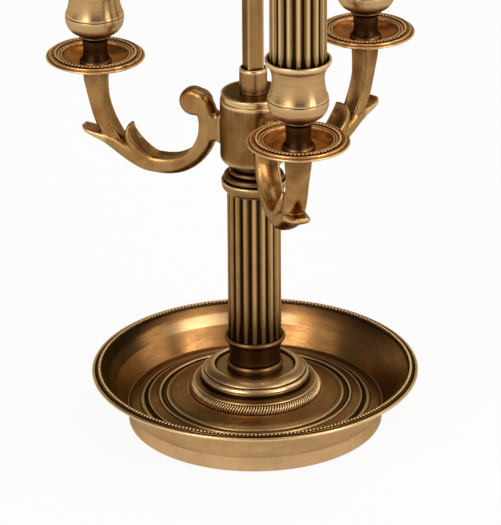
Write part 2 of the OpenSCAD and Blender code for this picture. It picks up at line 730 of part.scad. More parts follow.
module cup(turn) {
    z = cup_z;
    top = cup_top_z;
    neck_r = cup_neck_r;
    belly_z = z + 36;
    groove_z = belly_z + 2.4;
    waist_r = cup_belly_r - 3.3;
    waist_z = top - 16;
    bore_r = candle_r + slip_gap;
    hollow_r = waist_r - 3;
    color(pale_brass)
        at_candle(turn) turned(concat(
            [[rod_hole_r, z], [12.2, z], [12.2, z + 1.4], [11.6, z + 2]],
            curve([11.2, z + 2.6], [neck_r - 0.6, z + 4.6], [neck_r, z + 12], 7),
            [[neck_r + 0.5, z + 19.6], [neck_r + 1.6, z + 20.6]],
            arc(neck_r + 2, z + 21.6, 0.9, -80, 80, 5),
            curve([neck_r + 2.2, z + 22.8], [cup_belly_r - 0.6, z + 25], [cup_belly_r, belly_z], 9),
            [[cup_belly_r - 0.1, groove_z - 0.6], [cup_belly_r - 0.7, groove_z],
             [cup_belly_r - 0.3, groove_z + 0.6]],
            curve([cup_belly_r - 0.7, groove_z + 2], [waist_r + 0.3, waist_z - 8],
                [waist_r, waist_z], 7),
            curve([waist_r, waist_z + 1], [waist_r + 0.3, waist_z + 6],
                [cup_rim_r - 2.8, top - 6.2], 5),
            [[cup_rim_r - 2.4, top - 5.6]],
            curve([cup_rim_r - 1.7, top - 5.2], [cup_rim_r - 0.3, top - 3.6],
                [cup_rim_r, top - 1.4], 5),
            [[cup_rim_r - 0.2, top - 0.4], [cup_rim_r - 0.9, top], [cup_rim_r - 1.7, top - 0.4]],
            curve([cup_rim_r - 2.1, top - 1.2], [bore_r + 0.3, top - 2.6], [bore_r, top - 4], 3),
            [[bore_r, candle_z], [hollow_r, candle_z], [hollow_r, belly_z], [12, z + 27],
             [rod_hole_r, z + 27]]));
}

module conduit(turn) {
    color("#8d8d90")
        at_candle(turn)
            difference() {
                translate([0, 0, conduit_z]) cylinder(r = rod_thread_r, h = conduit_top_z - conduit_z);
                translate([0, 0, conduit_z - 1])
                    cylinder(r = wire_hole_r, h = conduit_top_z - conduit_z + 2);
            }
}

module candle(turn) {
    color(brass)
        at_candle(turn) rotate([0, 0, -turn]) translate([0, 0, candle_z])
            linear_extrude(candle_top_z - candle_z) fluted_disc(candle_r, candle_bore_r);
}

module candle_cap(turn) {
    z = candle_top_z;
    r = candle_r + candle_cap_lip;
    hole_r = holder_r + slip_gap;
    color(pale_brass)
        at_candle(turn) turned(concat(
            [[hole_r, z - 4], [candle_bore_r - slip_gap, z - 4], [candle_bore_r - slip_gap, z],
             [r - 1.2, z]],
            arc(r - 1.2, z + 1.2, 1.2, -90, 60, 6),
            [[hole_r + 1, z + candle_cap_t], [hole_r, z + candle_cap_t - 0.6]]));
}

module lampholder(turn) {
    color("#efe9d8")
        at_candle(turn) turned([[rod_thread_r + thread_gap, holder_z], [holder_r - 1.5, holder_z],
            [holder_r, holder_z + 1.5], [holder_r, holder_top_z - 1], [holder_r - 1, holder_top_z],
            [bulb_cap_r + slip_gap, holder_top_z], [bulb_cap_r + slip_gap, bulb_z], [0, bulb_z],
            [0, conduit_top_z], [rod_thread_r + thread_gap, conduit_top_z]]);
}

module bulb(turn) {
    z = holder_top_z + run_gap;
    color("#f3ead0")
        at_candle(turn) turned(concat(
            [[0, bulb_z], [2.4, bulb_z], [4, bulb_z + 2.4], [bulb_cap_r, bulb_z + 3.4],
             [bulb_cap_r, z]],
            curve([bulb_cap_r + 0.6, z], [bulb_r - 0.6, z + 6], [bulb_r, z + 0.36 * bulb_len], 9),
            curve([bulb_r - 0.05, z + 0.38 * bulb_len], [bulb_r - 2, z + 0.72 * bulb_len],
                [4, z + 0.93 * bulb_len], 9),
            [[2.2, z + 0.97 * bulb_len], [0, z + bulb_len]]));
}

module shade() {
    w = shade_wire_r;
    color("#20241f")
        turned([[shade_low_r - w - shade_t, shade_z + w], [shade_low_r - w, shade_z + w],
            [shade_top_r - w, shade_top_z - 2 * w], [shade_top_r - w - shade_t, shade_top_z - 2 * w]]);
}

module shade_hem() {
    w = shade_wire_r;
    color(brass)
        turned([[shade_low_r - 2 * w, shade_z], [shade_low_r, shade_z], [shade_low_r, shade_z + w],
            [shade_low_r - 2 * w, shade_z + w]]);
}

module shade_spider() {
    w = shade_wire_r;
    color(brass) {
        turned([[shade_top_r - 2 * w - shade_t, shade_top_z - 2 * w],
            [shade_top_r - w, shade_top_z - 2 * w], [shade_top_r, shade_top_z - w],
            [shade_top_r - w, shade_top_z], [shade_top_r - 2 * w - shade_t, shade_top_z]]);
        for (i = [0:2])
            rotate([0, 0, rod_turn + 120 * i]) translate([carrier_r, 0, rod_z]) rotate([0, 90, 0])
                cylinder(r = rod_r, h = shade_top_r - 2 * w - carrier_r, $fn = 32);
    }
}

module shade_carrier() {
    color(brass)
        difference() {
            union() {
                translate([0, 0, carrier_z]) cylinder(r = carrier_r, h = carrier_h);
                rotate([0, 0, stem_turn]) translate([0, 0, thumb_z]) rotate([0, 90, 0])
                    cylinder(r = thumb_shank_r + 3, h = carrier_r + thumb_boss_h);
            }
            rotate([0, 0, stem_turn])
                translate([-stem_w / 2 - run_gap, -stem_w / 2 - run_gap, carrier_z - 1])
                    cube([stem_w + 2 * run_gap, stem_w + 2 * run_gap, carrier_h + 2]);
            rotate([0, 0, stem_turn]) translate([0, 0, thumb_z]) rotate([0, 90, 0])
                cylinder(r = thumb_shank_r + thread_gap, h = carrier_r + thumb_boss_h + 1);
        }
}

module thumb_screw() {
    start = stem_w / 2 + run_gap;
    knob = carrier_r + thumb_boss_h + run_gap;
    neck_r = thumb_shank_r + 2;
    end = knob + 4 + thumb_knob_t;
    color(pale_brass)
        rotate([0, 0, stem_turn]) translate([0, 0, thumb_z]) rotate([0, 90, 0])
            turned([[0, start], [thumb_shank_r, start], [thumb_shank_r, knob],
                [neck_r, knob], [neck_r, knob + 2], [thumb_r - 1, knob + 3], [thumb_r, knob + 4],
                [thumb_r, end - 1], [thumb_r - 1, end], [0, end]]);
}

module finial() {
    z = stem_top_z + run_gap;
    h = finial_h;
    r = finial_r;
    seat_r = 0.78 * stem_w;
    ball_r = 4.2;
    color(brass)
        turned(concat(
            [[0, z - finial_thread_d], [finial_thread_r, z - finial_thread_d], [finial_thread_r, z],
             [seat_r, z], [seat_r, z + 2.5]],
            curve([seat_r - 1, z + 3.5], [4, z + 5], [4, z + 0.24 * h], 6),
            arc(5, z + 0.28 * h, 1.6, -70, 70, 5),
            curve([5, z + 0.33 * h], [r, z + 0.36 * h], [r, z + 0.58 * h], 8),
            [[r + 0.8, z + 0.6 * h], [r + 0.8, z + 0.63 * h], [r, z + 0.65 * h]],
            curve([r - 1, z + 0.67 * h], [4, z + 0.76 * h], [3.4, z + 0.84 * h], 7),
            arc(0, z + h - ball_r, ball_r, -36, 90, 8)));
}

felt_pad();
base_weight();
base_dish();
rim_beads();
foot_plinth();
rope_ring();
column_socket();
fluted_column();
capital();
hub_body();
hub_lid();
terminal_block();
stem_collar();
stem_bar();
stem_bolt();
centre_rod();
rod_nuts();
rod_washer();
cord_bushing();
arm_screws();
arm(turn_left);  // arm_left
arm(turn_front);  // arm_front
arm(turn_right);  // arm_right
pan(turn_left);  // pan_left
pan(turn_front);  // pan_front
pan(turn_right);  // pan_right
cup(turn_left);  // cup_left
cup(turn_front);  // cup_front
cup(turn_right);  // cup_right
conduit(turn_left);  // conduit_left
conduit(turn_front);  // conduit_front
conduit(turn_right);  // conduit_right
candle(turn_left);  // candle_left
candle(turn_front);  // candle_front
candle(turn_right);  // candle_right
candle_cap(turn_left);  // candle_cap_left
candle_cap(turn_front);  // candle_cap_front
candle_cap(turn_right);  // candle_cap_right
lampholder(turn_left);  // lampholder_left
lampholder(turn_front);  // lampholder_front
lampholder(turn_right);  // lampholder_right
bulb(turn_left);  // bulb_left
bulb(turn_front);  // bulb_front
bulb(turn_right);  // bulb_right
shade();
shade_hem();
shade_spider();
shade_carrier();
thumb_screw();
finial();
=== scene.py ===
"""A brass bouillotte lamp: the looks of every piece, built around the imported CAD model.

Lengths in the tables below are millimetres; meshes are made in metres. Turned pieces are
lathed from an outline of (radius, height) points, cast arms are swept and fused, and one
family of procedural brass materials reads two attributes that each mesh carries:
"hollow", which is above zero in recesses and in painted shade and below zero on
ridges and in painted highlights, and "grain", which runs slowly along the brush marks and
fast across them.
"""

import math

import bmesh
import bpy
import numpy as np
from mathutils import Matrix, Vector


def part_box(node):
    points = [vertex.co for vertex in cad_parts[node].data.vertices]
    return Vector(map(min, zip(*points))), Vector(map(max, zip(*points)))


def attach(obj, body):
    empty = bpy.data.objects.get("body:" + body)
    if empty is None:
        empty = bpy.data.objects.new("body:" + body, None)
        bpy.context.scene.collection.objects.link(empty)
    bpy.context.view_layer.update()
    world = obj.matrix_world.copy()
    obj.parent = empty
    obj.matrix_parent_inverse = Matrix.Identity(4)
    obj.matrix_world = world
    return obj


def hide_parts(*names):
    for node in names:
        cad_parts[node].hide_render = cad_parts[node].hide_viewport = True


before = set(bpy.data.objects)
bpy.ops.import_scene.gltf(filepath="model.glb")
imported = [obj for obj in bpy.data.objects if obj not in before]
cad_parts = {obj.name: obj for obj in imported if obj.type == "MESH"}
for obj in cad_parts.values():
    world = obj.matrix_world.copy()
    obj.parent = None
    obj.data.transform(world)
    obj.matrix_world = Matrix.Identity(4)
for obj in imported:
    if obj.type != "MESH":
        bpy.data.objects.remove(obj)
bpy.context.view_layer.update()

MM = 0.001
TAU = 2 * math.pi
# Directions about the lamp's axis, in degrees from +X
TURNS = {"left": 158.5, "front": 284.5, "right": 47.5}
STEM_TURN = 291
ROD_TURN = 105
FLUTES_START = math.radians(270)
ARM_REACH = 127.7
CANDLES = {side: (ARM_REACH * math.cos(a), ARM_REACH * math.sin(a))
           for side, a in zip(TURNS, map(math.radians, TURNS.values()))}
# Radii of the bores over the rod and conduits, and over the stem's bolt
BORE, STEM_BORE = 5.25, 4.15


# ---------------------------------------------------------------- outlines

def low(node):
    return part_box(node)[0].z / MM


def high(node):
    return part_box(node)[1].z / MM


def span(node):
    return low(node), high(node)


def chain(*parts):
    """An outline from single points and runs of points."""
    return [p for part in parts for p in (part if isinstance(part, list) else [part])]


def near(r, z, *offsets):
    """A run of points by their offsets from (r, z)."""
    return [(r + dr, z + dz) for dr, dz in offsets]


def arc(cx, cy, r, start, end, n=12):
    """Points of an arc about (cx, cy), in degrees."""
    angles = np.radians(np.linspace(start, end, n + 1))
    return [(cx + r * math.cos(a), cy + r * math.sin(a)) for a in angles]


def curve(p, c, q, n=14):
    """Points of a quadratic curve from p to q, drawn towards c."""
    p, c, q = (np.array(v, float) for v in (p, c, q))
    ts = np.linspace(0, 1, n + 1)
    return [tuple((1 - t) ** 2 * p + 2 * t * (1 - t) * c + t * t * q) for t in ts]


def soften(points, radius):
    """Rounds each sharp corner of a closed outline with a short curve."""
    same, straight = 1e-4, 18
    pts = [np.array(p, float) for p in points]
    pts = [p for i, p in enumerate(pts) if i == 0 or np.linalg.norm(p - pts[i - 1]) > same]
    if np.linalg.norm(pts[0] - pts[-1]) < same:
        pts.pop()
    out = []
    for i, p in enumerate(pts):
        a, b = pts[i - 1] - p, pts[(i + 1) % len(pts)] - p
        la, lb = np.linalg.norm(a), np.linalg.norm(b)
        bend = math.degrees(math.acos(max(-1, min(1, -float(a @ b) / (la * lb)))))
        if bend < straight or p[0] < 1e-6:
            out.append(p)
            continue
        d = min(radius, 0.45 * la, 0.45 * lb)
        out += [np.array(q) for q in curve(p + a / la * d, p, p + b / lb * d, 3)]
    return np.array(out)


def resample(points, step):
    """Splits the long edges of a closed outline, so that no edge is longer than step."""
    out = []
    for p, q in zip(points, np.roll(points, -1, 0)):
        parts = max(1, int(math.ceil(np.linalg.norm(q - p) / step)))
        out += [p + (q - p) * k / parts for k in range(parts)]
    return np.array(out)


def hollows(points, reach=1.4, depth=0.45):
    """How far each point of a closed outline lies below the blurred outline, from -1 to 1."""
    nxt = np.roll(points, -1, 0)
    seg = np.linalg.norm(nxt - points, axis=1)
    s = np.concatenate([[0], np.cumsum(seg)[:-1]])
    area = 0.5 * np.sum(points[:, 0] * nxt[:, 1] - nxt[:, 0] * points[:, 1])
    tangent = nxt - np.roll(points, 1, 0)
    normal = np.stack([tangent[:, 1], -tangent[:, 0]], 1)
    normal /= np.linalg.norm(normal, axis=1)[:, None] + 1e-9
    if area < 0:
        normal = -normal
    weight = 0.5 * (seg + np.roll(seg, 1)) + 1e-6
    gap = np.abs(s[:, None] - s[None, :])
    gap = np.minimum(gap, seg.sum() - gap)
    w = np.exp(-0.5 * (gap / reach) ** 2) * weight[None, :]
    blur = (w @ points) / w.sum(1)[:, None]
    return np.clip(np.sum((blur - points) * normal, 1) / depth, -1, 1)


# ---------------------------------------------------------------- meshes

def add_attribute(mesh, name, values, kind="FLOAT"):
    layer = mesh.attributes.new(name, kind, "POINT")
    key = "value" if kind == "FLOAT" else "vector"
    layer.data.foreach_set(key, np.asarray(values, np.float32).ravel())


def coordinates(mesh):
    co = np.zeros(len(mesh.vertices) * 3)
    mesh.vertices.foreach_get("co", co)
    return co.reshape(-1, 3) / MM


def tube_faces(rows, n, ring=False):
    """Quads between rows of n points. They close to a ring, or end in a face at each end."""
    faces = []
    for i in range(rows if ring else rows - 1):
        a, b = i * n, (i + 1) % rows * n
        faces += [[a + j, a + (j + 1) % n, b + (j + 1) % n, b + j] for j in range(n)]
    if not ring:
        faces += [list(range(n))[::-1], [(rows - 1) * n + j for j in range(n)]]
    return faces


def solid_parts(parts):
    """Points and faces of several parts in one list."""
    verts, faces, base = [], [], 0
    for part in parts:
        verts.append(part[0])
        faces += [[i + base for i in face] for face in part[1]]
        base += len(part[0])
    return np.concatenate(verts), faces


def add_object(name, data):
    obj = bpy.data.objects.new(name, data)
    bpy.context.scene.collection.objects.link(obj)
    return obj


def make(name, verts, faces, hollow=None, grain=None, smooth=40):
    """A mesh object from points in millimetres."""
    mesh = bpy.data.meshes.new(name)
    mesh.from_pydata((np.asarray(verts) * MM).tolist(), [], faces)
    mesh.validate()
    if hollow is not None:
        add_attribute(mesh, "hollow", hollow)
    if grain is not None:
        add_attribute(mesh, "grain", np.asarray(grain) * MM, "FLOAT_VECTOR")
    mesh.shade_smooth()
    mesh.set_sharp_from_angle(angle=math.radians(smooth))
    return add_object(name, mesh)


def lathe_parts(points, segments, centre=(0, 0), step=2.5, radius=0.35, shape=None):
    """Points, faces, hollows and grain of a closed outline turned about an upright axis, and
    which of its points lie on the axis.

    shape(angles, outline) may return offsets in radius, height and hollow for each angle."""
    line = resample(soften(points, radius), step)
    dark = hollows(line)
    n = len(line)
    angles = np.arange(segments) * TAU / segments
    seg = np.linalg.norm(np.roll(line, -1, 0) - line, axis=1)
    run = np.concatenate([[0], np.cumsum(seg)[:-1]])
    r, z, dark, run = (np.tile(v, (segments, 1)) for v in (line[:, 0], line[:, 1], dark, run))
    if shape is not None:
        dr, dz, extra = shape(angles[:, None], line)
        r, z, dark = r + dr, z + dz, np.clip(dark + extra, -1, 1)
    cos, sin = np.cos(angles)[:, None], np.sin(angles)[:, None]
    verts = np.stack([centre[0] + r * cos, centre[1] + r * sin, z], -1).reshape(-1, 3)
    # The grain runs slowly round the piece, at a like pace on wide and narrow pieces
    slow = 0.075 * line[:, 0].max()
    grain = np.stack([np.tile(cos * slow, n), np.tile(sin * slow, n), run], -1).reshape(-1, 3)
    area = np.sum(line[:, 0] * np.roll(line[:, 1], -1) - np.roll(line[:, 0], -1) * line[:, 1])
    faces = []
    pole = line[:, 0] < 1e-6
    for i in range(segments):
        a, b = i * n, ((i + 1) % segments) * n
        for j in range(n):
            k = (j + 1) % n
            if pole[j] and pole[k]:
                continue
            if pole[j]:
                face = [a + j, b + k, a + k]
            elif pole[k]:
                face = [a + j, b + j, a + k]
            else:
                face = [a + j, b + j, b + k, a + k]
            faces.append(face if area > 0 else face[::-1])
    return verts, faces, dark.ravel(), grain, pole


def merge_poles(obj):
    work = bmesh.new()
    work.from_mesh(obj.data)
    bmesh.ops.remove_doubles(work, verts=work.verts, dist=1e-7)
    work.to_mesh(obj.data)
    work.free()


def lathe(name, points, segments=192, **options):
    verts, faces, dark, grain, pole = lathe_parts(points, segments, **options)
    obj = make(name, verts, faces, dark, grain)
    spokes = verts[:, :2] - np.array(options.get("centre", (0, 0)))
    spokes /= np.linalg.norm(spokes, axis=1)[:, None] + 1e-9
    brush = np.stack([-spokes[:, 1], spokes[:, 0], 0 * verts[:, 2]], 1)
    add_attribute(obj.data, "brush", brush, "FLOAT_VECTOR")
    if pole.any():
        merge_poles(obj)
    return obj


def join(name, parts, smooth=40):
    """One object from several (points, faces, hollow, grain) parts."""
    verts, faces = solid_parts(parts)
    dark, grain = (np.concatenate([part[k] for part in parts]) for k in (2, 3))
    return make(name, verts, faces, dark, grain, smooth)


def ball_template(rings=8, sides=14):
    """A unit ball: points, faces."""
    verts = [(0, 0, 1)]
    for i in range(1, rings):
        a = math.pi * i / rings
        verts += [(math.sin(a) * math.cos(TAU * j / sides), math.sin(a) * math.sin(TAU * j / sides),
                   math.cos(a)) for j in range(sides)]
    verts.append((0, 0, -1))
    faces = [[0, 1 + j, 1 + (j + 1) % sides] for j in range(sides)]
    for i in range(rings - 2):
        o = 1 + i * sides
        faces += [[o + j, o + sides + j, o + sides + (j + 1) % sides, o + (j + 1) % sides]
                  for j in range(sides)]
    last = len(verts) - 1
    o = 1 + (rings - 2) * sides
    faces += [[last, o + (j + 1) % sides, o + j] for j in range(sides)]
    return np.array(verts, float), faces


def bead_row(name, count, row_r, z, bead_r, centre=(0, 0)):
    """A ring of balls: painted highlight on top, painted shade below where they meet the channel.
    """
    ball, faces = ball_template()
    # Lighter on top, darker below: painted highlight and painted shade.
    dark = np.clip(0.55 - 1.25 * ball[:, 2], -0.8, 1)
    grain_shift = 3.7
    parts = []
    for i in range(count):
        a = TAU * (i + 0.5) / count
        place = np.array([centre[0] + row_r * math.cos(a), centre[1] + row_r * math.sin(a), z])
        parts.append((ball * bead_r + place, faces, dark, ball * bead_r + i * grain_shift))
    return join(name, parts, 80)


def fluted_tube(name, r, bore_r, node, flute_w, centre=(0, 0), count=18, flute_d=1.5):
    """A tube as high as its node, with upright flutes between rounded ribs."""
    per, crown_h, z0, z1 = 24, 0.28, low(node), high(node)
    n = count * per
    angles = FLUTES_START + np.arange(n) * TAU / n
    pitch = TAU * r / count
    across = (((np.arange(n) % per) / per) - 0.5) * pitch
    x = np.abs(across) / (flute_w / 2)
    cut = np.where(x < 1, flute_d * np.sqrt(np.clip(1 - x ** 2, 0, 1)) ** 1.1, 0)
    rib = (pitch - flute_w) / 2
    edge = np.clip((np.abs(across) - flute_w / 2) / rib, 0, 1)
    fluted = r - cut - crown_h * (1 - edge) ** 2
    dark = np.where(x < 1, 0.75 * np.clip(1 - x ** 2, 0, 1) ** 1.2 - 0.1, -0.5 + 0.4 * (1 - edge))
    levels = [z0, *np.linspace(z0 + 0.01, z1 - 0.01, 24), z1]
    rows = [(fluted, z, dark) for z in levels] + [(bore_r, z, np.full(n, 0.9)) for z in (z1, z0)]
    verts = [np.stack([centre[0] + radius * np.cos(angles), centre[1] + radius * np.sin(angles),
                       np.full(n, z)], -1) for radius, z, _ in rows]
    grain = [np.stack([np.arange(n) * TAU * r / n, np.zeros(n), np.full(n, 0.02 * z)], -1)
             for _, z, _ in rows]
    return make(name, np.concatenate(verts), tube_faces(len(rows), n, ring=True),
                np.concatenate([row[2] for row in rows]), np.concatenate(grain), 50)


def dress(piece, looks, slot, *nodes, body="lamp"):
    """Gives the piece its materials; it stands for CAD nodes and rides on their body."""
    for look in looks.split():
        piece.data.materials.append(MATS[look])
    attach(piece, body)
    if nodes:
        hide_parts(*nodes)


# ---------------------------------------------------------------- materials

def rgb(r, g, b):
    """A colour given in 0 to 255, as Blender's linear colour."""
    out = []
    for v in (r, g, b):
        v /= 255
        out.append(v / 12.92 if v <= 0.04045 else ((v + 0.055) / 1.055) ** 2.4)
    return (*out, 1)


class Graph:
    """A short way to write shader nodes."""

    def __init__(self, tree):
        self.tree = tree

    def new(self, kind, **settings):
        node = self.tree.nodes.new(kind)
        for key, value in settings.items():
            if hasattr(node, key):
                setattr(node, key, value)
            else:
                node.inputs[key.replace("_", " ").title()].default_value = value
        return node

    def put(self, value, socket):
        """Sets a socket to a constant, or links it."""
        if isinstance(value, (int, float, tuple)):
            socket.default_value = value
        else:
            self.tree.links.new(value, socket)

    def map(self, value, from_min, from_max, to_min=0.0, to_max=1.0, smooth=False):
        node = self.new("ShaderNodeMapRange")
        node.clamp = True
        if smooth:
            node.interpolation_type = "SMOOTHSTEP"
        for key, v in zip(("From Min", "From Max", "To Min", "To Max", "Value"),
                          (from_min, from_max, to_min, to_max, value)):
            self.put(v, node.inputs[key])
        return node.outputs["Result"]

    def math(self, operation, a, b=0.0, clamp=False):
        node = self.new("ShaderNodeMath", operation=operation, use_clamp=clamp)
        for i, v in enumerate((a, b)):
            self.put(v, node.inputs[i])
        return node.outputs["Value"]

    def add(self, a, b, clamp=False):
        return self.math("ADD", a, b, clamp)

    def times(self, a, b):
        return self.math("MULTIPLY", a, b)

    def surface(self, output, share, a, b):
        """Mixes two shaders into an output node."""
        node = self.new("ShaderNodeMixShader")
        for v, socket in zip((share, a, b), node.inputs):
            self.put(v, socket)
        self.put(node.outputs["Shader"], output.inputs["Surface"])

    def seen(self):
        """1 for the rays that show the background: seen, mirrored or through glass."""
        path = self.new("ShaderNodeLightPath").outputs
        return self.add(self.add(path["Is Camera Ray"], path["Is Glossy Ray"]),
                        path["Is Transmission Ray"], True)


class Nodes(Graph):
    """A new material's nodes, with what they read from the mesh."""

    def __init__(self, name):
        self.mat = bpy.data.materials.new(name)
        self.mat.use_nodes = True
        super().__init__(self.mat.node_tree)
        self.shader = self.tree.nodes["Principled BSDF"]
        self.place = self.new("ShaderNodeTexCoord").outputs["Object"]

    def vector(self, name):
        return self.new("ShaderNodeAttribute", attribute_name=name).outputs["Vector"]

    def hollow(self):
        return self.new("ShaderNodeAttribute", attribute_name="hollow").outputs["Fac"]

    def noise(self, scale, detail=4.0, roughness=0.55, distortion=0.0, along=None):
        node = self.new("ShaderNodeTexNoise", Scale=scale, Detail=detail, Roughness=roughness,
                        Distortion=distortion)
        self.put(self.place if along is None else along, node.inputs["Vector"])
        return node.outputs["Fac"]

    def mix(self, factor, a, b):
        node = self.new("ShaderNodeMix", data_type="RGBA")
        for key, v in (("Factor", factor), (6, a), (7, b)):
            self.put(v, node.inputs[key])
        return node.outputs[2]

    def bump(self, height, distance, below=None):
        node = self.new("ShaderNodeBump", Distance=distance, Strength=1.0)
        self.put(height, node.inputs["Height"])
        if below is not None:
            self.put(below, node.inputs["Normal"])
        return node.outputs["Normal"]

    def set(self, **values):
        for key, v in values.items():
            self.put(v, self.shader.inputs[key.replace("_", " ")])
        return self.mat


def dull(colour, share):
    return (*(share * v for v in colour[:3]), 1)


def antique_brass(name, bright, body, dark, rough, patina_and_shade, blotch,
                  lines=0.35, cast=0.0, aniso=0.0, base_dark=0.0, warm=None):
    """Brass: dark patina in the recesses, worn ridges, and painted shade and highlights."""
    edge_tint = (0.68, 0.59, 0.47, 1)
    n = Nodes("antique_brass_" + name)
    hollow, grain = n.hollow(), n.vector("grain")
    cloud, stain, speck = n.noise(26, 5, 0.6, 0.4), n.noise(95, 6, 0.65, 0.8), n.noise(900, 3, 0.6)
    streak, fine = n.noise(700, 3, 0.6, along=grain), n.noise(2600, 2, 0.5, along=grain)
    # Ridges and painted highlights take the bright colour; recesses and painted shade the dark.
    rubbed_and_highlight = n.map(hollow, -0.06, -0.55, 0, 1, True)
    recess_and_shade = n.map(hollow, 0.04, 0.62, 0, 1, True)
    grime_and_shade = n.add(n.times(recess_and_shade, patina_and_shade), base_dark, True)
    worn = n.map(n.add(n.times(cloud, 0.6), n.times(stain, 0.4)), 0.42, 0.64, 0, blotch, True)
    lined = n.map(streak, 0.4, 0.68, 0, lines * 0.4)
    shade = n.add(n.add(worn, lined), n.map(speck, 0.56, 0.72, 0, 0.12), True)
    if warm:
        body = n.mix(n.map(n.noise(34, 2, 0.5, 1.2), 0.38, 0.66, 0, 0.8, True), body, warm)
    tone = n.mix(shade, body, n.mix(0.55, body, dark))
    tone = n.mix(n.times(rubbed_and_highlight, 0.85), tone, bright)
    gloss = n.add(n.map(shade, 0, 0.7, rough, rough + 0.14), n.times(grime_and_shade, 0.18))
    n.set(Base_Color=n.mix(grime_and_shade, tone, dark), Metallic=1.0, Specular_Tint=edge_tint,
          Roughness=n.add(gloss, n.map(streak, 0.3, 0.7, -0.04, 0.05)))
    if aniso:
        n.set(Anisotropic=aniso, Anisotropic_Rotation=0.25, Tangent=n.vector("brush"))
    normal = n.bump(fine, 0.000008 * (0.3 + lines))
    if cast:
        normal = n.bump(n.noise(330, 4, 0.6), 0.00001 * cast, normal)
        normal = n.bump(n.noise(70, 2, 0.4, 0.6), 0.0006 * cast, normal)
    return n.set(Normal=normal)


def worn_paint(name, colour, edge, rough):
    """Satin paint on sheet metal with a faint brush texture and worn ridges."""
    n = Nodes(name)
    tone = n.mix(n.map(n.noise(18, 4), 0.35, 0.7, 0, 0.3), colour, dull(colour, 0.6))
    rub = n.times(n.map(n.hollow(), -0.3, -0.9, 0, 1), n.map(n.noise(150, 5), 0.52, 0.62))
    return n.set(Base_Color=n.mix(rub, tone, edge),
                 Roughness=n.map(n.noise(700, 3), 0.3, 0.7, rough - 0.06, rough + 0.1),
                 Normal=n.bump(n.noise(900, 3, along=n.vector("grain")), 0.00004))


def plain_metal(name, colour, rough=0.35, spots=0.3):
    n = Nodes(name)
    spot = n.noise(500, 4, 0.7)
    return n.set(Base_Color=n.mix(n.map(spot, 0.5, 0.75, 0, spots), colour, dull(colour, 0.45)),
                 Metallic=1.0, Normal=n.bump(spot, 0.00004),
                 Roughness=n.map(n.noise(60, 5), 0.3, 0.7, rough - 0.05, rough + 0.15))


def iron_casting(name):
    n = Nodes(name)
    sand, rust = n.noise(420, 6, 0.7), n.noise(40, 6, 0.65, 1.0)
    tone = n.mix(n.map(rust, 0.55, 0.75, 0, 0.7), rgb(52, 52, 54), rgb(92, 58, 38))
    return n.set(Base_Color=tone, Metallic=0.6, Roughness=n.map(sand, 0.3, 0.7, 0.5, 0.8),
                 Normal=n.bump(sand, 0.0004))


def felt_cloth(name):
    n = Nodes(name)
    fibre = n.noise(1500, 5, 0.8, 2.0)
    tone = n.mix(n.map(fibre, 0.35, 0.7), rgb(44, 58, 42), rgb(70, 88, 64))
    tone = n.mix(n.map(n.noise(40, 4), 0.4, 0.7, 0, 0.3), tone, rgb(34, 44, 32))
    return n.set(Base_Color=tone, Roughness=0.95, Sheen_Weight=0.4, Normal=n.bump(fibre, 0.0005))


def smooth_dielectric(name, colour, rough, spots=0.15, coat=0.0):
    """Porcelain or moulded plastic, with a slight mottle and orange peel."""
    n = Nodes(name)
    peel = n.noise(900, 2)
    tone = n.mix(n.map(n.noise(120, 4), 0.45, 0.75, 0, spots), colour, dull(colour, 0.7))
    return n.set(Base_Color=tone, Roughness=n.map(peel, 0.3, 0.7, rough, rough + 0.08),
                 Coat_Weight=coat, Normal=n.bump(peel, 0.00003))


def bulb_glass(name):
    n = Nodes(name)
    film = n.mix(n.map(n.noise(60, 3), 0.3, 0.7), rgb(255, 252, 244), rgb(250, 242, 226))
    return n.set(Base_Color=film, Roughness=n.map(n.noise(300, 3), 0.3, 0.7, 0.0, 0.05),
                 Transmission_Weight=1.0, IOR=1.45)


BRIGHT = rgb(232, 198, 146)
DARK = rgb(36, 22, 11)
# Ridge, body and recess colour, roughness, share of patina and painted shade, share of blotches
BRASS = {
    "dish": (rgb(232, 196, 140), rgb(156, 111, 64), rgb(40, 29, 18), 0.27, 1.0, 0.35),
    # Band: paler body, partly a smoother finish and partly painted light for its dim reflection.
    "band": (rgb(226, 188, 138), rgb(206, 166, 118), DARK, 0.32, 0.8, 0.3),
    "turned": (BRIGHT, rgb(160, 119, 74), DARK, 0.26, 1.0, 0.35),
    "plain": (BRIGHT, rgb(164, 122, 76), DARK, 0.27, 1.0, 0.35),
    # Pan: a more orange body, partly a painted reflection of the brass around it.
    "pan": (rgb(232, 190, 132), rgb(184, 115, 57), rgb(60, 38, 22), 0.2, 0.85, 0.35),
    "cup": (rgb(236, 204, 154), rgb(194, 154, 104), DARK, 0.24, 1.0, 0.2),
    "column": (rgb(206, 168, 112), rgb(158, 120, 71), rgb(38, 23, 10), 0.3, 1.0, 0.35),
    "candle": (rgb(230, 198, 142), rgb(158, 122, 76), rgb(30, 19, 9), 0.28, 1.0, 0.3),
    "hub": (BRIGHT, rgb(146, 106, 62), DARK, 0.31, 0.9, 0.4),
    "casting": (rgb(220, 180, 124), rgb(168, 128, 78), rgb(66, 36, 15), 0.25, 0.95, 0.5),
    "dark": (rgb(146, 108, 68), rgb(92, 62, 36), rgb(20, 13, 8), 0.3, 1.0, 0.4),
    "beads": (rgb(244, 212, 158), rgb(186, 142, 90), rgb(22, 12, 6), 0.22, 1.0, 0.1),
}
BRASS_EXTRAS = {
    "dish": {"aniso": 0.6},
    "band": {"aniso": 0.5},
    "turned": {"aniso": 0.5},
    "pan": {"aniso": 0.4},
    "cup": {"lines": 0.5, "aniso": 0.7},
    "column": {"lines": 0.6},
    "candle": {"lines": 0.6},
    "hub": {"lines": 1.0, "warm": rgb(126, 82, 42)},
    "casting": {"cast": 0.8, "warm": rgb(144, 96, 50)},
    "dark": {"base_dark": 0.12, "aniso": 0.5},
}
MATS = {name: antique_brass(name, *values, **BRASS_EXTRAS.get(name, {}))
        for name, values in BRASS.items()}
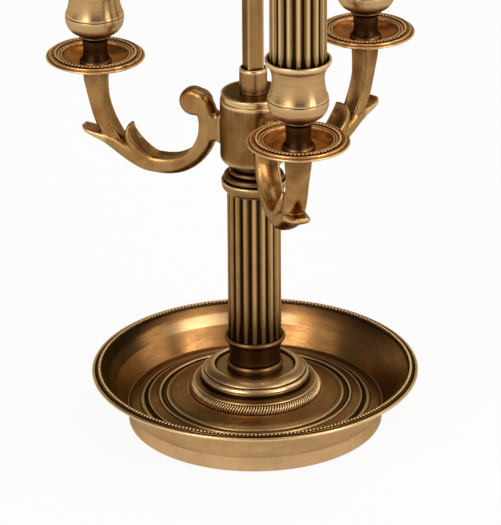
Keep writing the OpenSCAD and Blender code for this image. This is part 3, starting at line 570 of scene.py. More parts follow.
MATS |= {
    "steel": plain_metal("zinc_steel", rgb(190, 190, 194)),
    "iron": iron_casting("black_iron"),
    "felt": felt_cloth("green_felt"),
    "ceramic": smooth_dielectric("glazed_porcelain", rgb(238, 232, 216), 0.12, coat=0.6),
    "plastic": smooth_dielectric("terminal_plastic", rgb(228, 224, 210), 0.45),
    "bushing": smooth_dielectric("bushing_plastic", rgb(24, 21, 18), 0.35),
    "glass": bulb_glass("bulb_glass"),
    "shade": worn_paint("shade_green", rgb(26, 42, 32), rgb(176, 140, 86), 0.3),
    "inside": worn_paint("shade_inside", rgb(232, 220, 190), rgb(150, 140, 120), 0.5),
}


# ---------------------------------------------------------------- base and column

FLOOR_Z = low("foot_plinth")
FLAT_R, FLOOR_FALL = 51.6, 10.0
RIM_R, RIM_Z, LIP_R = 125.0, 40.6, 1.3
WELL_R, BAND_R, SHEET = 97.8, 97.4, 1.4
BEAD_ROW_R, BEAD_R, BEAD_SEAT_Z = 119.4, 1.25, 42.3
FLOOR_RING_R, FLOOR_STEP_R = 73.2, 82.0


def on_floor(r, lift=0.0):
    """A point at a height above the dish's floor, which falls from the foot to the wall."""
    return r, FLOOR_Z - FLOOR_FALL * max(0.0, r - FLAT_R) / (WELL_R - FLAT_R) + lift


def groove(r, width=0.5, depth=0.5):
    return [on_floor(r - width), on_floor(r, -depth), on_floor(r + width)]


def age_and_shade(piece, rule, centre=(0, 0)):
    """Sets hollows by rule(value, radius, height, angle): zones of patina, painted shade,
    highlights.
    """
    layer = piece.data.attributes["hollow"]
    value = np.zeros(len(layer.data), np.float32)
    layer.data.foreach_get("value", value)
    co = coordinates(piece.data)
    x, y = co[:, 0] - centre[0], co[:, 1] - centre[1]
    value = rule(value, np.hypot(x, y), co[:, 2], np.degrees(np.arctan2(y, x)))
    layer.data.foreach_set("value", np.clip(value, -1, 1).astype(np.float32))


def fade(value, start, end):
    """0 at start, 1 at end, smooth between them."""
    t = np.clip((value - start) / (end - start), 0, 1)
    return t * t * (3 - 2 * t)


def paint(piece, test):
    """The second material where test(radius, height, facing) holds; facing is above 0 outwards."""
    for face in piece.data.polygons:
        c = face.center / MM
        facing = face.normal.x * c.x + face.normal.y * c.y
        face.material_index = int(test(math.hypot(c.x, c.y), c.z, facing))


def base_dish():
    well_z = on_floor(WELL_R)[1]
    seat_in, seat_out = BEAD_ROW_R - BEAD_R - 0.5, BEAD_ROW_R + BEAD_R + 0.4
    seat_z, inner_r = BEAD_SEAT_Z, BAND_R - SHEET
    bow = (0.5 * (WELL_R + seat_in) - 1.2, 0.5 * (well_z + seat_z) + 1.2)
    ring, step, under = FLOOR_RING_R, FLOOR_STEP_R, FLOOR_Z - SHEET
    outline = chain(
        (BORE, FLOOR_Z), (45, FLOOR_Z), on_floor(FLAT_R), groove(ring - 8.8, 0.45, 0.4),
        groove(ring - 7.4, 0.45, 0.4), on_floor(ring - 5.2), on_floor(ring - 4.6, -0.7),
        on_floor(ring - 1.5, -0.7), arc(ring, on_floor(ring)[1] - 0.1, 1.15, 180, 15, 10),
        on_floor(step - 1), on_floor(step, 0.35), on_floor(step + 0.7, -0.6),
        on_floor(step + 3.4, -0.6), on_floor(step + 4), groove(step + 7, 0.45, 0.4),
        groove(WELL_R - 1.4, 0.5, 0.5),
        curve((WELL_R, well_z), bow, (seat_in - 0.5, seat_z - 1.0), 44),
        near(seat_in, seat_z, (-0.3, 0.2), (0.2, -0.5)),
        near(seat_out, seat_z, (-0.2, -0.5), (0.2, 0.1), (0.8, -1.2)),
        arc(RIM_R - LIP_R, RIM_Z, LIP_R, 150, -90, 18), (seat_out + 0.6, seat_z - 2.4),
        (seat_in + 2, seat_z - 2.0),
        curve((seat_in + 1.2, seat_z - 3.0), (bow[0] + SHEET, bow[1] - SHEET),
              (BAND_R + 1.1, well_z - 0.6), 24), near(BAND_R, well_z, (0.2, -1.9), (0, -3.4)),
        (BAND_R, 0.8), (inner_r, 0.8), (inner_r, on_floor(inner_r - 0.5)[1] - SHEET),
        on_floor(inner_r - 0.5, -SHEET), (FLAT_R, under), (BORE, under))
    dish = lathe("dish", outline, 288, step=2.2)

    # Darker in the bead channel and where the floor meets the wall; the zones below are painted
    # light.
    def patina_and_shade(h, r, z, a):
        channel = (r > seat_in - 0.6) & (r < seat_out + 1.2) & (z > seat_z - 1.6)
        wall_foot = fade(r, WELL_R - 4, WELL_R) * fade(r, WELL_R + 6, WELL_R) * (z > well_z - 0.9)
        # Painted shade on the wall just below the beads.
        wall_top_shade = fade(z, 33, 38) * (r < seat_in)
        wall = fade(r, WELL_R - 1, WELL_R + 5) * (r < seat_in) * (z < seat_z)
        # Painted shade on the wall's left and right-back sides.
        sides = 0.45 * fade(np.abs(np.abs(a) - 180), 75, 25) + 0.22 * fade(np.abs(a - 48), 32, 12)
        # Painted highlight on the back wall.
        back_highlight = 0.42 * fade(np.abs(a - 104), 46, 22) * fade(z, 25, 29) * fade(z, 38, 35)
        # Painted highlight on the floor towards the front.
        front = 0.14 * fade(np.abs(a + 90), 42, 14) * (r > FLAT_R) * (r < WELL_R - 3) * (z > 10)
        outside = (r > BAND_R - 0.8) & (z < bow[1] - SHEET + 0.4 * (r - bow[0])) & (z < 40)
        h = h + 0.9 * channel + 0.35 * wall_foot + 0.16 * wall_top_shade + wall * (sides - back_highlight) - front
        # Painted shade at the outer band's left and right ends.
        ends = 0.2 * fade(np.abs(np.cos(np.radians(a))), 0.72, 1)
        return np.where(outside, np.clip(h, -0.06, 0.05) + ends, h)

    age_and_shade(dish, patina_and_shade)
    paint(dish, lambda r, z, facing: facing > 0 and r > BAND_R - 0.6 and z < RIM_Z - 1.1)
    dress(dish, "dish band", "turned_brass", "base_dish")
    beads = bead_row("dish_beads", 254, BEAD_ROW_R, seat_z + 0.1, BEAD_R)
    dress(beads, "beads", "polished_brass", "rim_beads")


def foot():
    z, top = FLOOR_Z, high("foot_plinth")
    well_z = low("column_socket")
    rope_r, fillet_r, torus_r, ring_r, well_r, rope_h = 50.6, 47.6, 41.8, 38.8, 31.0, 6.4
    outline = chain(
        (BORE, z), (rope_r - 7.2, z), (rope_r - 7.2, z + rope_h), (fillet_r - 0.5, z + rope_h),
        arc(fillet_r - 0.7, z + rope_h + 0.7, 0.7, -60, 90, 8),
        curve((fillet_r - 2, z + rope_h + 1.4), (torus_r + 0.6, z + rope_h + 1.7),
              (torus_r - 0.8, z + 9.6), 10), arc(torus_r - 3.3, z + 13.1, 3.4, -50, 60, 16),
        near(ring_r, z, (-0.6, 15.9), (0, 16.5), (0, 17.3)),
        curve((ring_r - 0.6, z + 17.8), (ring_r - 3.2, top - 0.6), (well_r + 1.2, top), 12),
        (well_r + 0.4, top), (well_r, top - 0.6), (well_r - 0.2, well_z), (BORE, well_z))
    plinth = lathe("foot", outline, 192, step=1.6)
    dress(plinth, "turned", "turned_brass", "foot_plinth")

    strokes, twist = 144, 1.15

    def strand(angles, line):
        along = np.clip((line[:, 1] - z) / rope_h, 0, 1)[None, :]
        outside = (line[:, 0] > rope_r - 4.2)[None, :]
        phase = angles * strokes / TAU - along * twist
        cut = (0.5 + 0.5 * np.cos(TAU * phase)) ** 2 * outside
        return -0.75 * cut, -0.35 * cut * (along > 0.5), 1.7 * cut - 0.3

    ring = chain(
        (rope_r - 7, z), (rope_r - 0.9, z),
        curve((rope_r, z + 1), (rope_r + 0.3, z + 4.6), (fillet_r - 0.6, z + rope_h - 0.1), 16),
        (rope_r - 7, z + rope_h - 0.1))
    rope = lathe("rope_collar", ring, strokes * 12, step=0.8, radius=0.3, shape=strand)
    dress(rope, "turned", "polished_brass", "rope_ring")


def socket():
    z, top = span("column_socket")
    seat_z = low("fluted_column")
    torus_r, waist_r, collar_r = 21.6, 19.2, 23.5
    outline = chain(
        (BORE, z), (torus_r - 1.2, z), arc(torus_r - 3, z + 3.2, 3, -65, 75, 14),
        curve((waist_r + 0.4, z + 6.8), (waist_r - 0.6, z + 13), (collar_r - 2.4, top - 4.4), 16),
        arc(collar_r - 1.9, top - 2, 1.9, -80, 88, 14), (20.9, top - 0.3), (20.75, top - 2),
        (20.75, seat_z), (BORE, seat_z))
    piece = lathe("column_socket_turned", outline, 160, step=1.2)
    dress(piece, "dark", "dark_brass", "column_socket")


def column():
    tube = fluted_tube("column_fluted", 20.5, 16.3, "fluted_column", 3.7)
    foot_z = high("column_socket")
    # Painted shade and patina darken the shaft towards the socket; painted shade on its left side.
    age_and_shade(tube, lambda h, r, z, a: (h + 0.5 * fade(z, foot_z + 24, foot_z + 2)
                                  + 0.22 * fade(np.cos(np.radians(a + 160)), 0.3, 0.9)))
    dress(tube, "column", "fluted_brass", "fluted_column")


def capital():
    hub_z = high("capital")
    z = hub_z - 23.6
    c = 24.7
    outline = chain(
        (BORE, z - 6), (16.05, z - 6), (16.05, z),
        near(c, z, (-3.9, 0), (-3.4, 1.5), (-2.0, 2.2), (-1.5, 2.8), (-1.1, 3.1)),
        curve((c - 1.0, z + 3.5), (c, z + 6.4), (c - 0.1, z + 9.0), 12), (c - 0.4, z + 9.6),
        (c - 1.2, z + 9.8), arc(c - 4.1, z + 12, 2.3, -65, 62, 12), (c - 5.2, z + 14.1),
        (c - 6.0, z + 14.3), arc(c - 8, z + 16.3, 1.9, -60, 72, 12), (c - 8.4, z + 18.5),
        (c - 9.0, z + 18.8), (c - 9.2, hub_z), (BORE, hub_z))
    piece = lathe("capital_turned", outline, 160, step=1.2)
    paint(piece, lambda r, height, facing: height < z + 9.7)
    age_and_shade(piece, lambda h, r, height, a: h + 0.26 * (height < z + 9.7))
    dress(piece, "dark turned", "dark_brass", "capital")


def upright_grain(piece):
    """Brush marks that run up and down."""
    co = coordinates(piece.data) * (MM, MM, 0.03 * MM)
    piece.data.attributes["grain"].data.foreach_set("vector", co.astype(np.float32).ravel())


def hub():
    z, lid_z = span("hub_body")
    r, edge = 25.1, 6.0
    outline = chain(
        (BORE, z), (r - edge, z), arc(r - edge, z + edge, edge, -90, 0, 16),
        near(r, lid_z, (0, -0.3), (-0.3, 0), (-3, 0)), (r - 3, z + 6), (r - 4, z + 5),
        (BORE, z + 5))
    body = lathe("hub_drum", outline, 160, step=3)
    upright_grain(body)
    dress(body, "hub", "turned_brass", "hub_body")
    top, cover_r = high("hub_lid"), r - 0.7
    lid = lathe("hub_cover", chain(
        (STEM_BORE, lid_z - 3), (r - 3.25, lid_z - 3), (r - 3.25, lid_z),
        near(cover_r, lid_z, (-0.5, 0), (-0.5, 0.5), (0, 0.9)),
        near(cover_r, top, (0, -0.6), (-0.5, 0), (-1.6, 0)), (STEM_BORE, top)), 160, step=2)
    age_and_shade(lid, lambda h, r, z, a: h + 0.4 * (z > top - 0.2) * (r < cover_r - 1))
    dress(lid, "turned", "polished_brass", "hub_lid")


def square_bar(name, width, z0, z1, turn, bevel=0.5):
    """A square bar with rounded arrises, in rings from z0 to z1."""
    reach = (width / 2 - bevel) * math.sqrt(2)
    corner = []
    for a in range(0, 360, 90):
        mid = math.radians(a + 45)
        corner += arc(reach * math.cos(mid), reach * math.sin(mid), bevel, a, a + 90, 4)
    line = resample(np.array(corner), 1.2)
    t = math.radians(turn)
    x = line[:, 0] * math.cos(t) - line[:, 1] * math.sin(t)
    y = line[:, 0] * math.sin(t) + line[:, 1] * math.cos(t)
    n = len(line)
    levels = np.concatenate([[z0], np.arange(z0 + 8, z1, 8), [z1]])
    verts = np.concatenate([np.stack([x, y, np.full(n, z)], 1) for z in levels])
    dark = np.tile(hollows(line, reach=1.0), len(levels))
    return make(name, verts, tube_faces(len(levels), n), dark, verts * (1, 1, 0.03), 30)


def stem():
    z, top = span("stem_collar")
    r = 10.5
    outline = chain(
        (STEM_BORE, z), (r - 0.5, z), (r, z + 0.5), (r, top - 1.2), (r - 0.5, top - 0.4),
        (r - 1.1, top), (9.05, top), (9.0, top - 0.5), (9.0, top - 1.5), (STEM_BORE, top - 1.5))
    collar = lathe("stem_socket", outline, 96, step=1.5)
    upright_grain(collar)
    dress(collar, "turned", "turned_brass", "stem_collar")
    bar = square_bar("stem_square", 12.7, *span("stem_bar"), STEM_TURN)
    # Painted shade: the bar's left face is made darker.
    age_and_shade(bar, lambda h, r, z, a: h + 0.3 * (np.cos(np.radians(a - STEM_TURN + 90)) > 0.72))
    dress(bar, "column", "turned_brass", "stem_bar")


# ---------------------------------------------------------------- arms

HUB_R = 25.1
SCREW_Z = 0.5 * sum(span("arm_screws"))
PAN_Z = low("pan_left")
ARM_DROP = 45.1
ARM_HW = 9.3
GUTTER = 3.6
# Share of the reach, share of the drop or rise, half depth, half width, gutter
SCROLL = [
    (0.179, 0.544, 8.4, 0.72, 0), (0.132, 0.378, 7.8, 0.80, 0), (0.111, 0.183, 7.3, 0.90, 0.3),
    (0.108, -0.020, 7.1, 0.98, 0.7), (0.122, -0.220, 7.2, 1, 0.9), (0.161, -0.412, 7.4, 1, 1),
    (0.231, -0.601, 7.5, 1, 1), (0.319, -0.73, 7.8, 1, 1), (0.413, -0.792, 8, 1, 1),
    (0.506, -0.802, 8, 1, 1), (0.598, -0.783, 8.0, 1, 0.9), (0.686, -0.712, 7.4, 1, 0.3),
    (0.769, -0.612, 7.0, 1, 0), (0.852, -0.508, 6.2, 0.98, 0), (0.935, -0.442, 4.4, 0.95, 0.2),
    (1.012, -0.402, 3.2, 0.9, 0.15), (1.07, -0.362, 2.4, 0.76, 0.1), (1.104, -0.3, 1.2, 0.46, 0)]
STALK = [
    (0.818, -0.552, 7.0, 0.84, 0), (0.871, -0.386, 7.6, 0.87, 0.5), (0.920, -0.186, 7.8, 0.88, 0.8),
    (0.951, -0.009, 7.8, 0.88, 0.8), (0.974, 0.225, 7.8, 0.89, 0.8), (0.989, 0.475, 8.4, 0.96, 0.7),
    (0.998, 0.725, 9.3, 1.04, 0.5), (1, 1.06, 9.9, 1.1, 0.3)]
LEAF = [
    (0.43, -0.812, 6.6, 0.96, 0.75), (0.51, -0.80, 6.8, 0.97, 0.85),
    (0.585, -0.735, 6.6, 0.97, 0.9), (0.65, -0.62, 5.8, 0.97, 0.9), (0.703, -0.478, 4.8, 0.95, 0.8),
    (0.733, -0.325, 3.2, 0.86, 0.5), (0.725, -0.175, 1.2, 0.55, 0.1)]
SCROLL_EYE = (0.22, 0.5)
SCROLL_R = 10.5


def arm_point(u, w):
    rise = PAN_Z - SCREW_Z
    return HUB_R + u * (ARM_REACH - HUB_R), SCREW_Z + w * (ARM_DROP if w < 0 else rise)


def spline_rows(rows, steps):
    """Catmull-Rom rows and their directions."""
    p = np.array([(*arm_point(u, w), d, b * ARM_HW, g * GUTTER) for u, w, d, b, g in rows])
    pad = np.concatenate([p[:1], p, p[-1:]])
    out = []
    for s in np.linspace(0, len(p) - 1, steps):
        i = min(int(s), len(p) - 2)
        t = s - i
        a, b, c, d = pad[i:i + 4]
        out.append(0.5 * (2 * b + t * (c - a) + t * t * (2 * a - 5 * b + 4 * c - d)
                          + t ** 3 * (3 * b - a - 3 * c + d)))
    out = np.array(out)
    way = np.gradient(out[:, :2], axis=0)
    return out, way / np.linalg.norm(way, axis=1)[:, None]


def rounded(angles, power):
    """Points round a box with rounded corners: a power of 1 is round, 0 is square."""
    sa, ca = np.sin(angles), np.cos(angles)
    return np.sign(sa) * np.abs(sa) ** power, np.sign(ca) * np.abs(ca) ** power


def member(rows, steps):
    """A swept arm member: a rounded box across the path with its inner side hollowed."""
    sides = 56
    path, way = spline_rows(rows, steps)
    a = TAU * (np.arange(sides) + 0.5) / sides
    inner = np.cos(a) > 0
    v, u = rounded(a, np.where(inner, 0.68, 0.92))
    cup = np.clip(1 - (v / 0.8) ** 2, 0, 1) ** 0.8 * inner
    verts = []
    for (x, z, d, b, g), (tx, tz) in zip(path, way):
        off = u * d - cup * g
        verts.append(np.stack([x - tz * off, v * b, z + tx * off], 1))
    return np.concatenate(verts), [f[:1] + f[:0:-1] for f in tube_faces(len(path), sides)]


def fuse(name, parts, voxel=0.5, rounds=12):
    """Joins overlapping closed parts into one skin and rounds it slightly."""
    verts, faces = solid_parts(parts)
    obj = make(name, verts, faces)
    remesh = obj.modifiers.new("fuse", "REMESH")
    remesh.mode = "VOXEL"
    remesh.voxel_size = voxel * MM
    smooth = obj.modifiers.new("round", "SMOOTH")
    smooth.factor = 0.5
    smooth.iterations = rounds
    graph = bpy.context.evaluated_depsgraph_get()
    mesh = bpy.data.meshes.new_from_object(obj.evaluated_get(graph))
    obj.modifiers.clear()
    old = obj.data
    obj.data = mesh
    bpy.data.meshes.remove(old)
    mesh.name = name
    return obj


def skin_attributes(obj, rounds=14, depth=0.4):
    """Finds the hollows of any even mesh by smoothing a copy of it."""
    mesh = obj.data
    co = coordinates(mesh)
    edges = np.zeros(len(mesh.edges) * 2, np.int64)
    mesh.edges.foreach_get("vertices", edges)
    a, b = edges.reshape(-1, 2).T
    count = np.bincount(a, minlength=len(co)) + np.bincount(b, minlength=len(co))

    def around(v):
        """The mean of each point's neighbours."""
        return (np.bincount(a, v[b], len(co)) + np.bincount(b, v[a], len(co))) / count

    soft = co.copy()
    for _ in range(rounds):
        soft += 0.6 * (np.stack([around(v) for v in soft.T], 1) - soft)
    normal = np.zeros(len(co) * 3)
    mesh.vertex_normals.foreach_get("vector", normal)
    hollow = np.sum((soft - co) * normal.reshape(-1, 3), 1) / depth
    for _ in range(3):
        hollow = 0.5 * (hollow + around(hollow))
    add_attribute(mesh, "hollow", np.clip(hollow, -1, 1))
    add_attribute(mesh, "grain", co * MM, "FLOAT_VECTOR")
    mesh.shade_smooth()


def scroll_eye(x, z, radius, hw):
    """A rounded boss of the scroll, as a closed part."""
    edge = 5.2
    outline = chain(
        (0, -hw), arc(radius - edge, edge - hw, edge, -90, 0, 8),
        arc(radius - edge, hw - edge, edge, 0, 90, 8), (0, hw))
    verts, faces, _, _, _ = lathe_parts(outline, 48, radius=0.01, step=4)
    return np.stack([x + verts[:, 0], -verts[:, 2], z + verts[:, 1]], 1), faces


def lug():
    """The waisted web between the hub and the scroll, as a closed part."""
    sides = 32
    v, u = rounded(TAU * (np.arange(sides) + 0.5) / sides, 0.5)
    rows = [(-1, 7.6, 13.4), (0.6, 7.2, 12.6), (2.5, 6.9, 11.6), (4.5, 7.2, 11.4), (7, 8, 12.4),
            (9, 8, 13)]
    verts = [np.stack([np.full(sides, HUB_R + x), v * hw, SCREW_Z + u * hh], 1)
             for x, hw, hh in rows]
    return np.concatenate(verts), tube_faces(len(rows), sides)


def arms():
    x, z = arm_point(*SCROLL_EYE)
    parts = [member(SCROLL, 150), member(STALK, 60), member(LEAF, 60), lug(),
             scroll_eye(x, z, SCROLL_R + 0.5, 0.76 * ARM_HW),
             scroll_eye(x - 4.2, z - 0.6, SCROLL_R - 0.1, 0.78 * ARM_HW)]
    pattern = fuse("arm_pattern", parts)
    mesh = pattern.data
    co = coordinates(mesh)
    co[:, 2] = np.minimum(co[:, 2], PAN_Z)
    flat = np.hypot(co[:, 0], co[:, 1])
    inside = flat < HUB_R
    co[inside, :2] *= (HUB_R / flat[inside])[:, None]
    mesh.vertices.foreach_set("co", (co * MM).ravel())
    mesh.update()
    skin_attributes(pattern)

    # Recess darkness is capped, with zones of painted light.
    def patina_and_shade(h, r, z, a):
        # Painted shade on the arm's outer, upper part.
        stalk_shade = 0.16 * fade(r, 74, 80) * fade(z, 205, 215)
        # Painted shadow under the pan.
        pan_shadow = 0.3 * fade(z, PAN_Z - 22, PAN_Z)
        # Painted highlight over the spur and the stalk's foot.
        spur_highlight = 0.35 * fade(r, 114, 121) * fade(z, 234, 222)
        return np.clip(h, -0.28, 0.13) + stalk_shade + pan_shadow - spur_highlight

    for side, turn in TURNS.items():
        arm = add_object("arm_" + side + "_casting", mesh.copy())
        arm.data.transform(Matrix.Rotation(math.radians(turn), 4, "Z"))
        age_and_shade(arm, patina_and_shade)
        dress(arm, "casting", "cast_brass", "arm_" + side)
    bpy.data.objects.remove(pattern)


def pans():
    z = PAN_Z + 7
    crown_z = z + 2.6
    r, row_r, b, bead_r, lip = 37.5, 30.3, 25.3, 1.1, 0.9
    floor = low("cup_left")
    outline = chain(
        (BORE, PAN_Z), (10.4, PAN_Z),
        curve((12, PAN_Z + 0.2), (26, z - 1.4), (r - 1.2, z - 0.9), 14),
        arc(r - lip, z, lip, -60, 100, 12), (r - 1.7, z + 0.7), (r - 2.2, z + 0.8),
        arc(r - 3.2, crown_z - 0.8, 0.8, 0, 170, 9), (r - 4.2, crown_z - 0.7),
        near(row_r + bead_r, crown_z, (0.4, -0.6), (0, -1.0)),
        near(row_r - bead_r, crown_z, (0.1, -1.0), (-0.3, -0.5)),
        near(b, crown_z, (2.1, -0.6), (1.7, -1.2)), arc(b + 0.7, crown_z - 1.4, 0.85, 15, 180, 9),
        curve((b - 0.4, crown_z - 2.4), (b - 5, floor + 0.4), (13, floor), 18), (BORE, floor))
    for side, centre in CANDLES.items():
        pan = lathe("drip_pan_" + side, outline, 144, centre=centre, step=1.6, radius=0.25)
        age_and_shade(pan, lambda h, r, z, a: np.minimum(h, 0.24), centre)
        dress(pan, "pan", "turned_brass", "pan_" + side)
        beads = bead_row("pan_beads_" + side, 66, row_r, crown_z - 0.3, bead_r + 0.1, centre)
        dress(beads, "beads", "polished_brass")


def cups():
    z, top = span("cup_left")
    neck_r, belly_r, rim_r, bore_r = 9.3, 22.3, 24.2, 21.05
    belly_z = z + 36
    cut = belly_z + 2.4
    waist_r, waist_z = belly_r - 3.3, top - 16
    outline = chain(
        (BORE, z), (12.2, z), (12.2, z + 1.2), (11.7, z + 2),
        curve((11.2, z + 2.6), (neck_r - 0.6, z + 4.6), (neck_r, z + 12), 14),
        near(neck_r, z, (0.4, 19.4), (1.6, 20.5)), arc(neck_r + 2, z + 21.6, 1.0, -80, 80, 8),
        curve((neck_r + 2.2, z + 22.9), (belly_r - 0.6, z + 25), (belly_r, belly_z), 22),
        near(belly_r, cut, (-0.05, -0.5), (-0.65, 0), (-0.25, 0.5)),
        curve((belly_r - 0.5, cut + 1.6), (waist_r + 0.3, waist_z - 8), (waist_r, waist_z), 16),
        curve((waist_r, waist_z + 1), (waist_r + 0.3, waist_z + 6), (rim_r - 2.9, top - 6.3), 10),
        near(rim_r, top, (-2.6, -5.7), (-2.1, -5.3)),
        curve((rim_r - 1.7, top - 5.1), (rim_r - 0.3, top - 3.6), (rim_r, top - 1.4), 8),
        near(rim_r, top, (-0.2, -0.4), (-0.9, 0), (-1.7, -0.4)),
        curve((rim_r - 2.1, top - 1.2), (bore_r + 0.3, top - 2.6), (bore_r, top - 4), 6),
        (bore_r, top - 5), (waist_r - 3, top - 5), (waist_r - 3, belly_z), (12, z + 27),
        (BORE, z + 27))

    def patina_and_shade(h, r, height, a):
        # Painted shade under the belly; the rim is made darker too.
        foot = fade(height, z + 29, z + 23) * (height > z + 22.6)
        return h + 0.45 * foot + 0.14 * (height > top - 5)

    for side, centre in CANDLES.items():
        cup = lathe("candle_cup_" + side, outline, 144, centre=centre, step=1.6, radius=0.25)
        age_and_shade(cup, patina_and_shade)
        # The neck below the belly takes the darker brass: painted shade under the belly.
        paint(cup, lambda r, height, facing: height < z + 22.8)
        dress(cup, "cup dark", "polished_brass", "cup_" + side)


def candles():
    for side, centre in CANDLES.items():
        node = "candle_" + side
        tube = fluted_tube("candle_tube_" + side, 20.8, 17.4, node, 4.0, centre)
        rim_z = high("cup_" + side)
        # Painted shade on the tube just above the cup's rim.
        age_and_shade(tube, lambda h, r, z, a: h + 0.45 * fade(z, rim_z + 9, rim_z), centre)
        dress(tube, "candle", "fluted_brass", node)
        z = high(node)
        r, hole = 22.4, 13.85
        cap = lathe("candle_lid_" + side, chain(
            (hole, z - 4), (17.15, z - 4), (17.15, z), (r - 1.2, z),
            arc(r - 1.2, z + 1.2, 1.2, -90, 60, 10), (r - 2.6, z + 2.3), (r - 3.4, z + 2.1),
            near(hole, z, (2.4, 2.6), (1.4, 3), (0, 2.6))), 120, centre=centre, step=1.5,
                    radius=0.25)
        dress(cap, "cup", "polished_brass", "candle_cap_" + side)


# ---------------------------------------------------------------- bulbs

def wire(points, radius, sides=10):
    """A thin wire through a list of points."""
    p = np.array(points, float)
    way = np.gradient(p, axis=0)
    way /= np.linalg.norm(way, axis=1)[:, None]
    up = np.array([0.0, 0.0, 1.0]) if abs(way[0][2]) < 0.9 else np.array([1.0, 0.0, 0.0])
    verts = []
    for q, t in zip(p, way):
        side = np.cross(t, up)
        side /= np.linalg.norm(side)
        up = np.cross(side, t)
        a = TAU * np.arange(sides) / sides
        verts.append(q + radius * (np.cos(a)[:, None] * side + np.sin(a)[:, None] * up))
    verts = np.concatenate(verts)
    return verts, tube_faces(len(p), sides), np.zeros(len(verts)), verts


def bulbs():
    foot, top = span("bulb_left")
    z = high("lampholder_left") + 0.3
    length, r, cap_r = top - z, 17.5, 6.9
    skin = 0.9
    line = chain(
        curve((cap_r - 0.4, z + 1.5), (r - 0.6, z + 6), (r, z + 0.36 * length), 20),
        curve((r - 0.05, z + 0.38 * length), (r - 2, z + 0.72 * length), (4, z + 0.93 * length),
              24), (2.2, z + 0.97 * length), (0.9, z + 0.995 * length), (0, top))
    inner = [(max(x - skin, 0), y - (skin * 1.5 if x < 5 else 0)) for x, y in line]
    inner[-1] = (0, top - 2.2)
    for side, c in CANDLES.items():
        glass = lathe("bulb_glass_" + side, line + inner[::-1], 96, centre=c, step=3, radius=0.2)
        dress(glass, "glass", "bulb_glass", "bulb_" + side)
        ridges = []
        for k in range(5):
            h = foot + 5 + 4.2 * k
            ridges += near(cap_r, h, (-0.6, 0), (0, 1.3), (0, 1.9), (-0.6, 3.2))
        screw = chain(
            (0, foot), (2.4, foot), (3.8, foot + 2), (cap_r - 0.6, foot + 3.6), ridges,
            near(cap_r, z, (0, 0.6), (0.2, 2.4), (-1.0, 3.2)), (0, z + 3.2))
        shell = lathe("bulb_cap_" + side, screw, 64, centre=c, step=1.5, radius=0.3)
        dress(shell, "steel", "steel_fastener")
        mid = z + 0.5 * length
        leads = [(1.6, z + 3.2), (2.4, z + 18), (3.2, mid - 14), (3.6, mid - 8)]
        parts = [wire([(c[0] + s * x, c[1], h) for x, h in leads], 0.35) for s in (-1, 1)]
        loops = [(c[0] + 3.6 * math.cos(t), c[1] + 1.6 * math.sin(t),
                  mid - 8 + 22 * math.sin(t / 12) ** 2) for t in np.linspace(0, 12 * math.pi, 150)]
        parts.append(wire(loops, 0.22, 6))
        dress(join("bulb_filament_" + side, parts), "steel", "steel_fastener")
        stalk = [(0, z + 3.3), (4.2, z + 3.3), (3.2, z + 8), (1.8, z + 20), (1.5, mid - 12),
                 (0, mid - 11)]
        post = lathe("bulb_post_" + side, stalk, 32, centre=c, step=3)
        dress(post, "glass", "bulb_glass")


def lampholders():
    """The porcelain bodies stay as they are; a threaded brass liner goes inside each mouth."""
    for side, c in CANDLES.items():
        top = high("lampholder_" + side)
        line = near(13, top, (0, -3), (0.75, -3), (0.8, -0.6), (0.2, 0.15), (-0.8, 0.15),
                    (-0.8, -0.2), (0, -0.5))
        ring = lathe("lampholder_rim_" + side, line, 96, centre=c, step=2, radius=0.2)
        dress(ring, "turned", "turned_brass")


# ---------------------------------------------------------------- shade

def aim(piece, turn, z):
    """Lays a piece that was made along +Z from the origin in the direction turn, at height z."""
    lay = Matrix.Rotation(math.radians(90), 4, "Y")
    spin = Matrix.Rotation(math.radians(turn), 4, "Z")
    piece.data.transform(Matrix.Translation((0, 0, z * MM)) @ spin @ lay)
    return piece


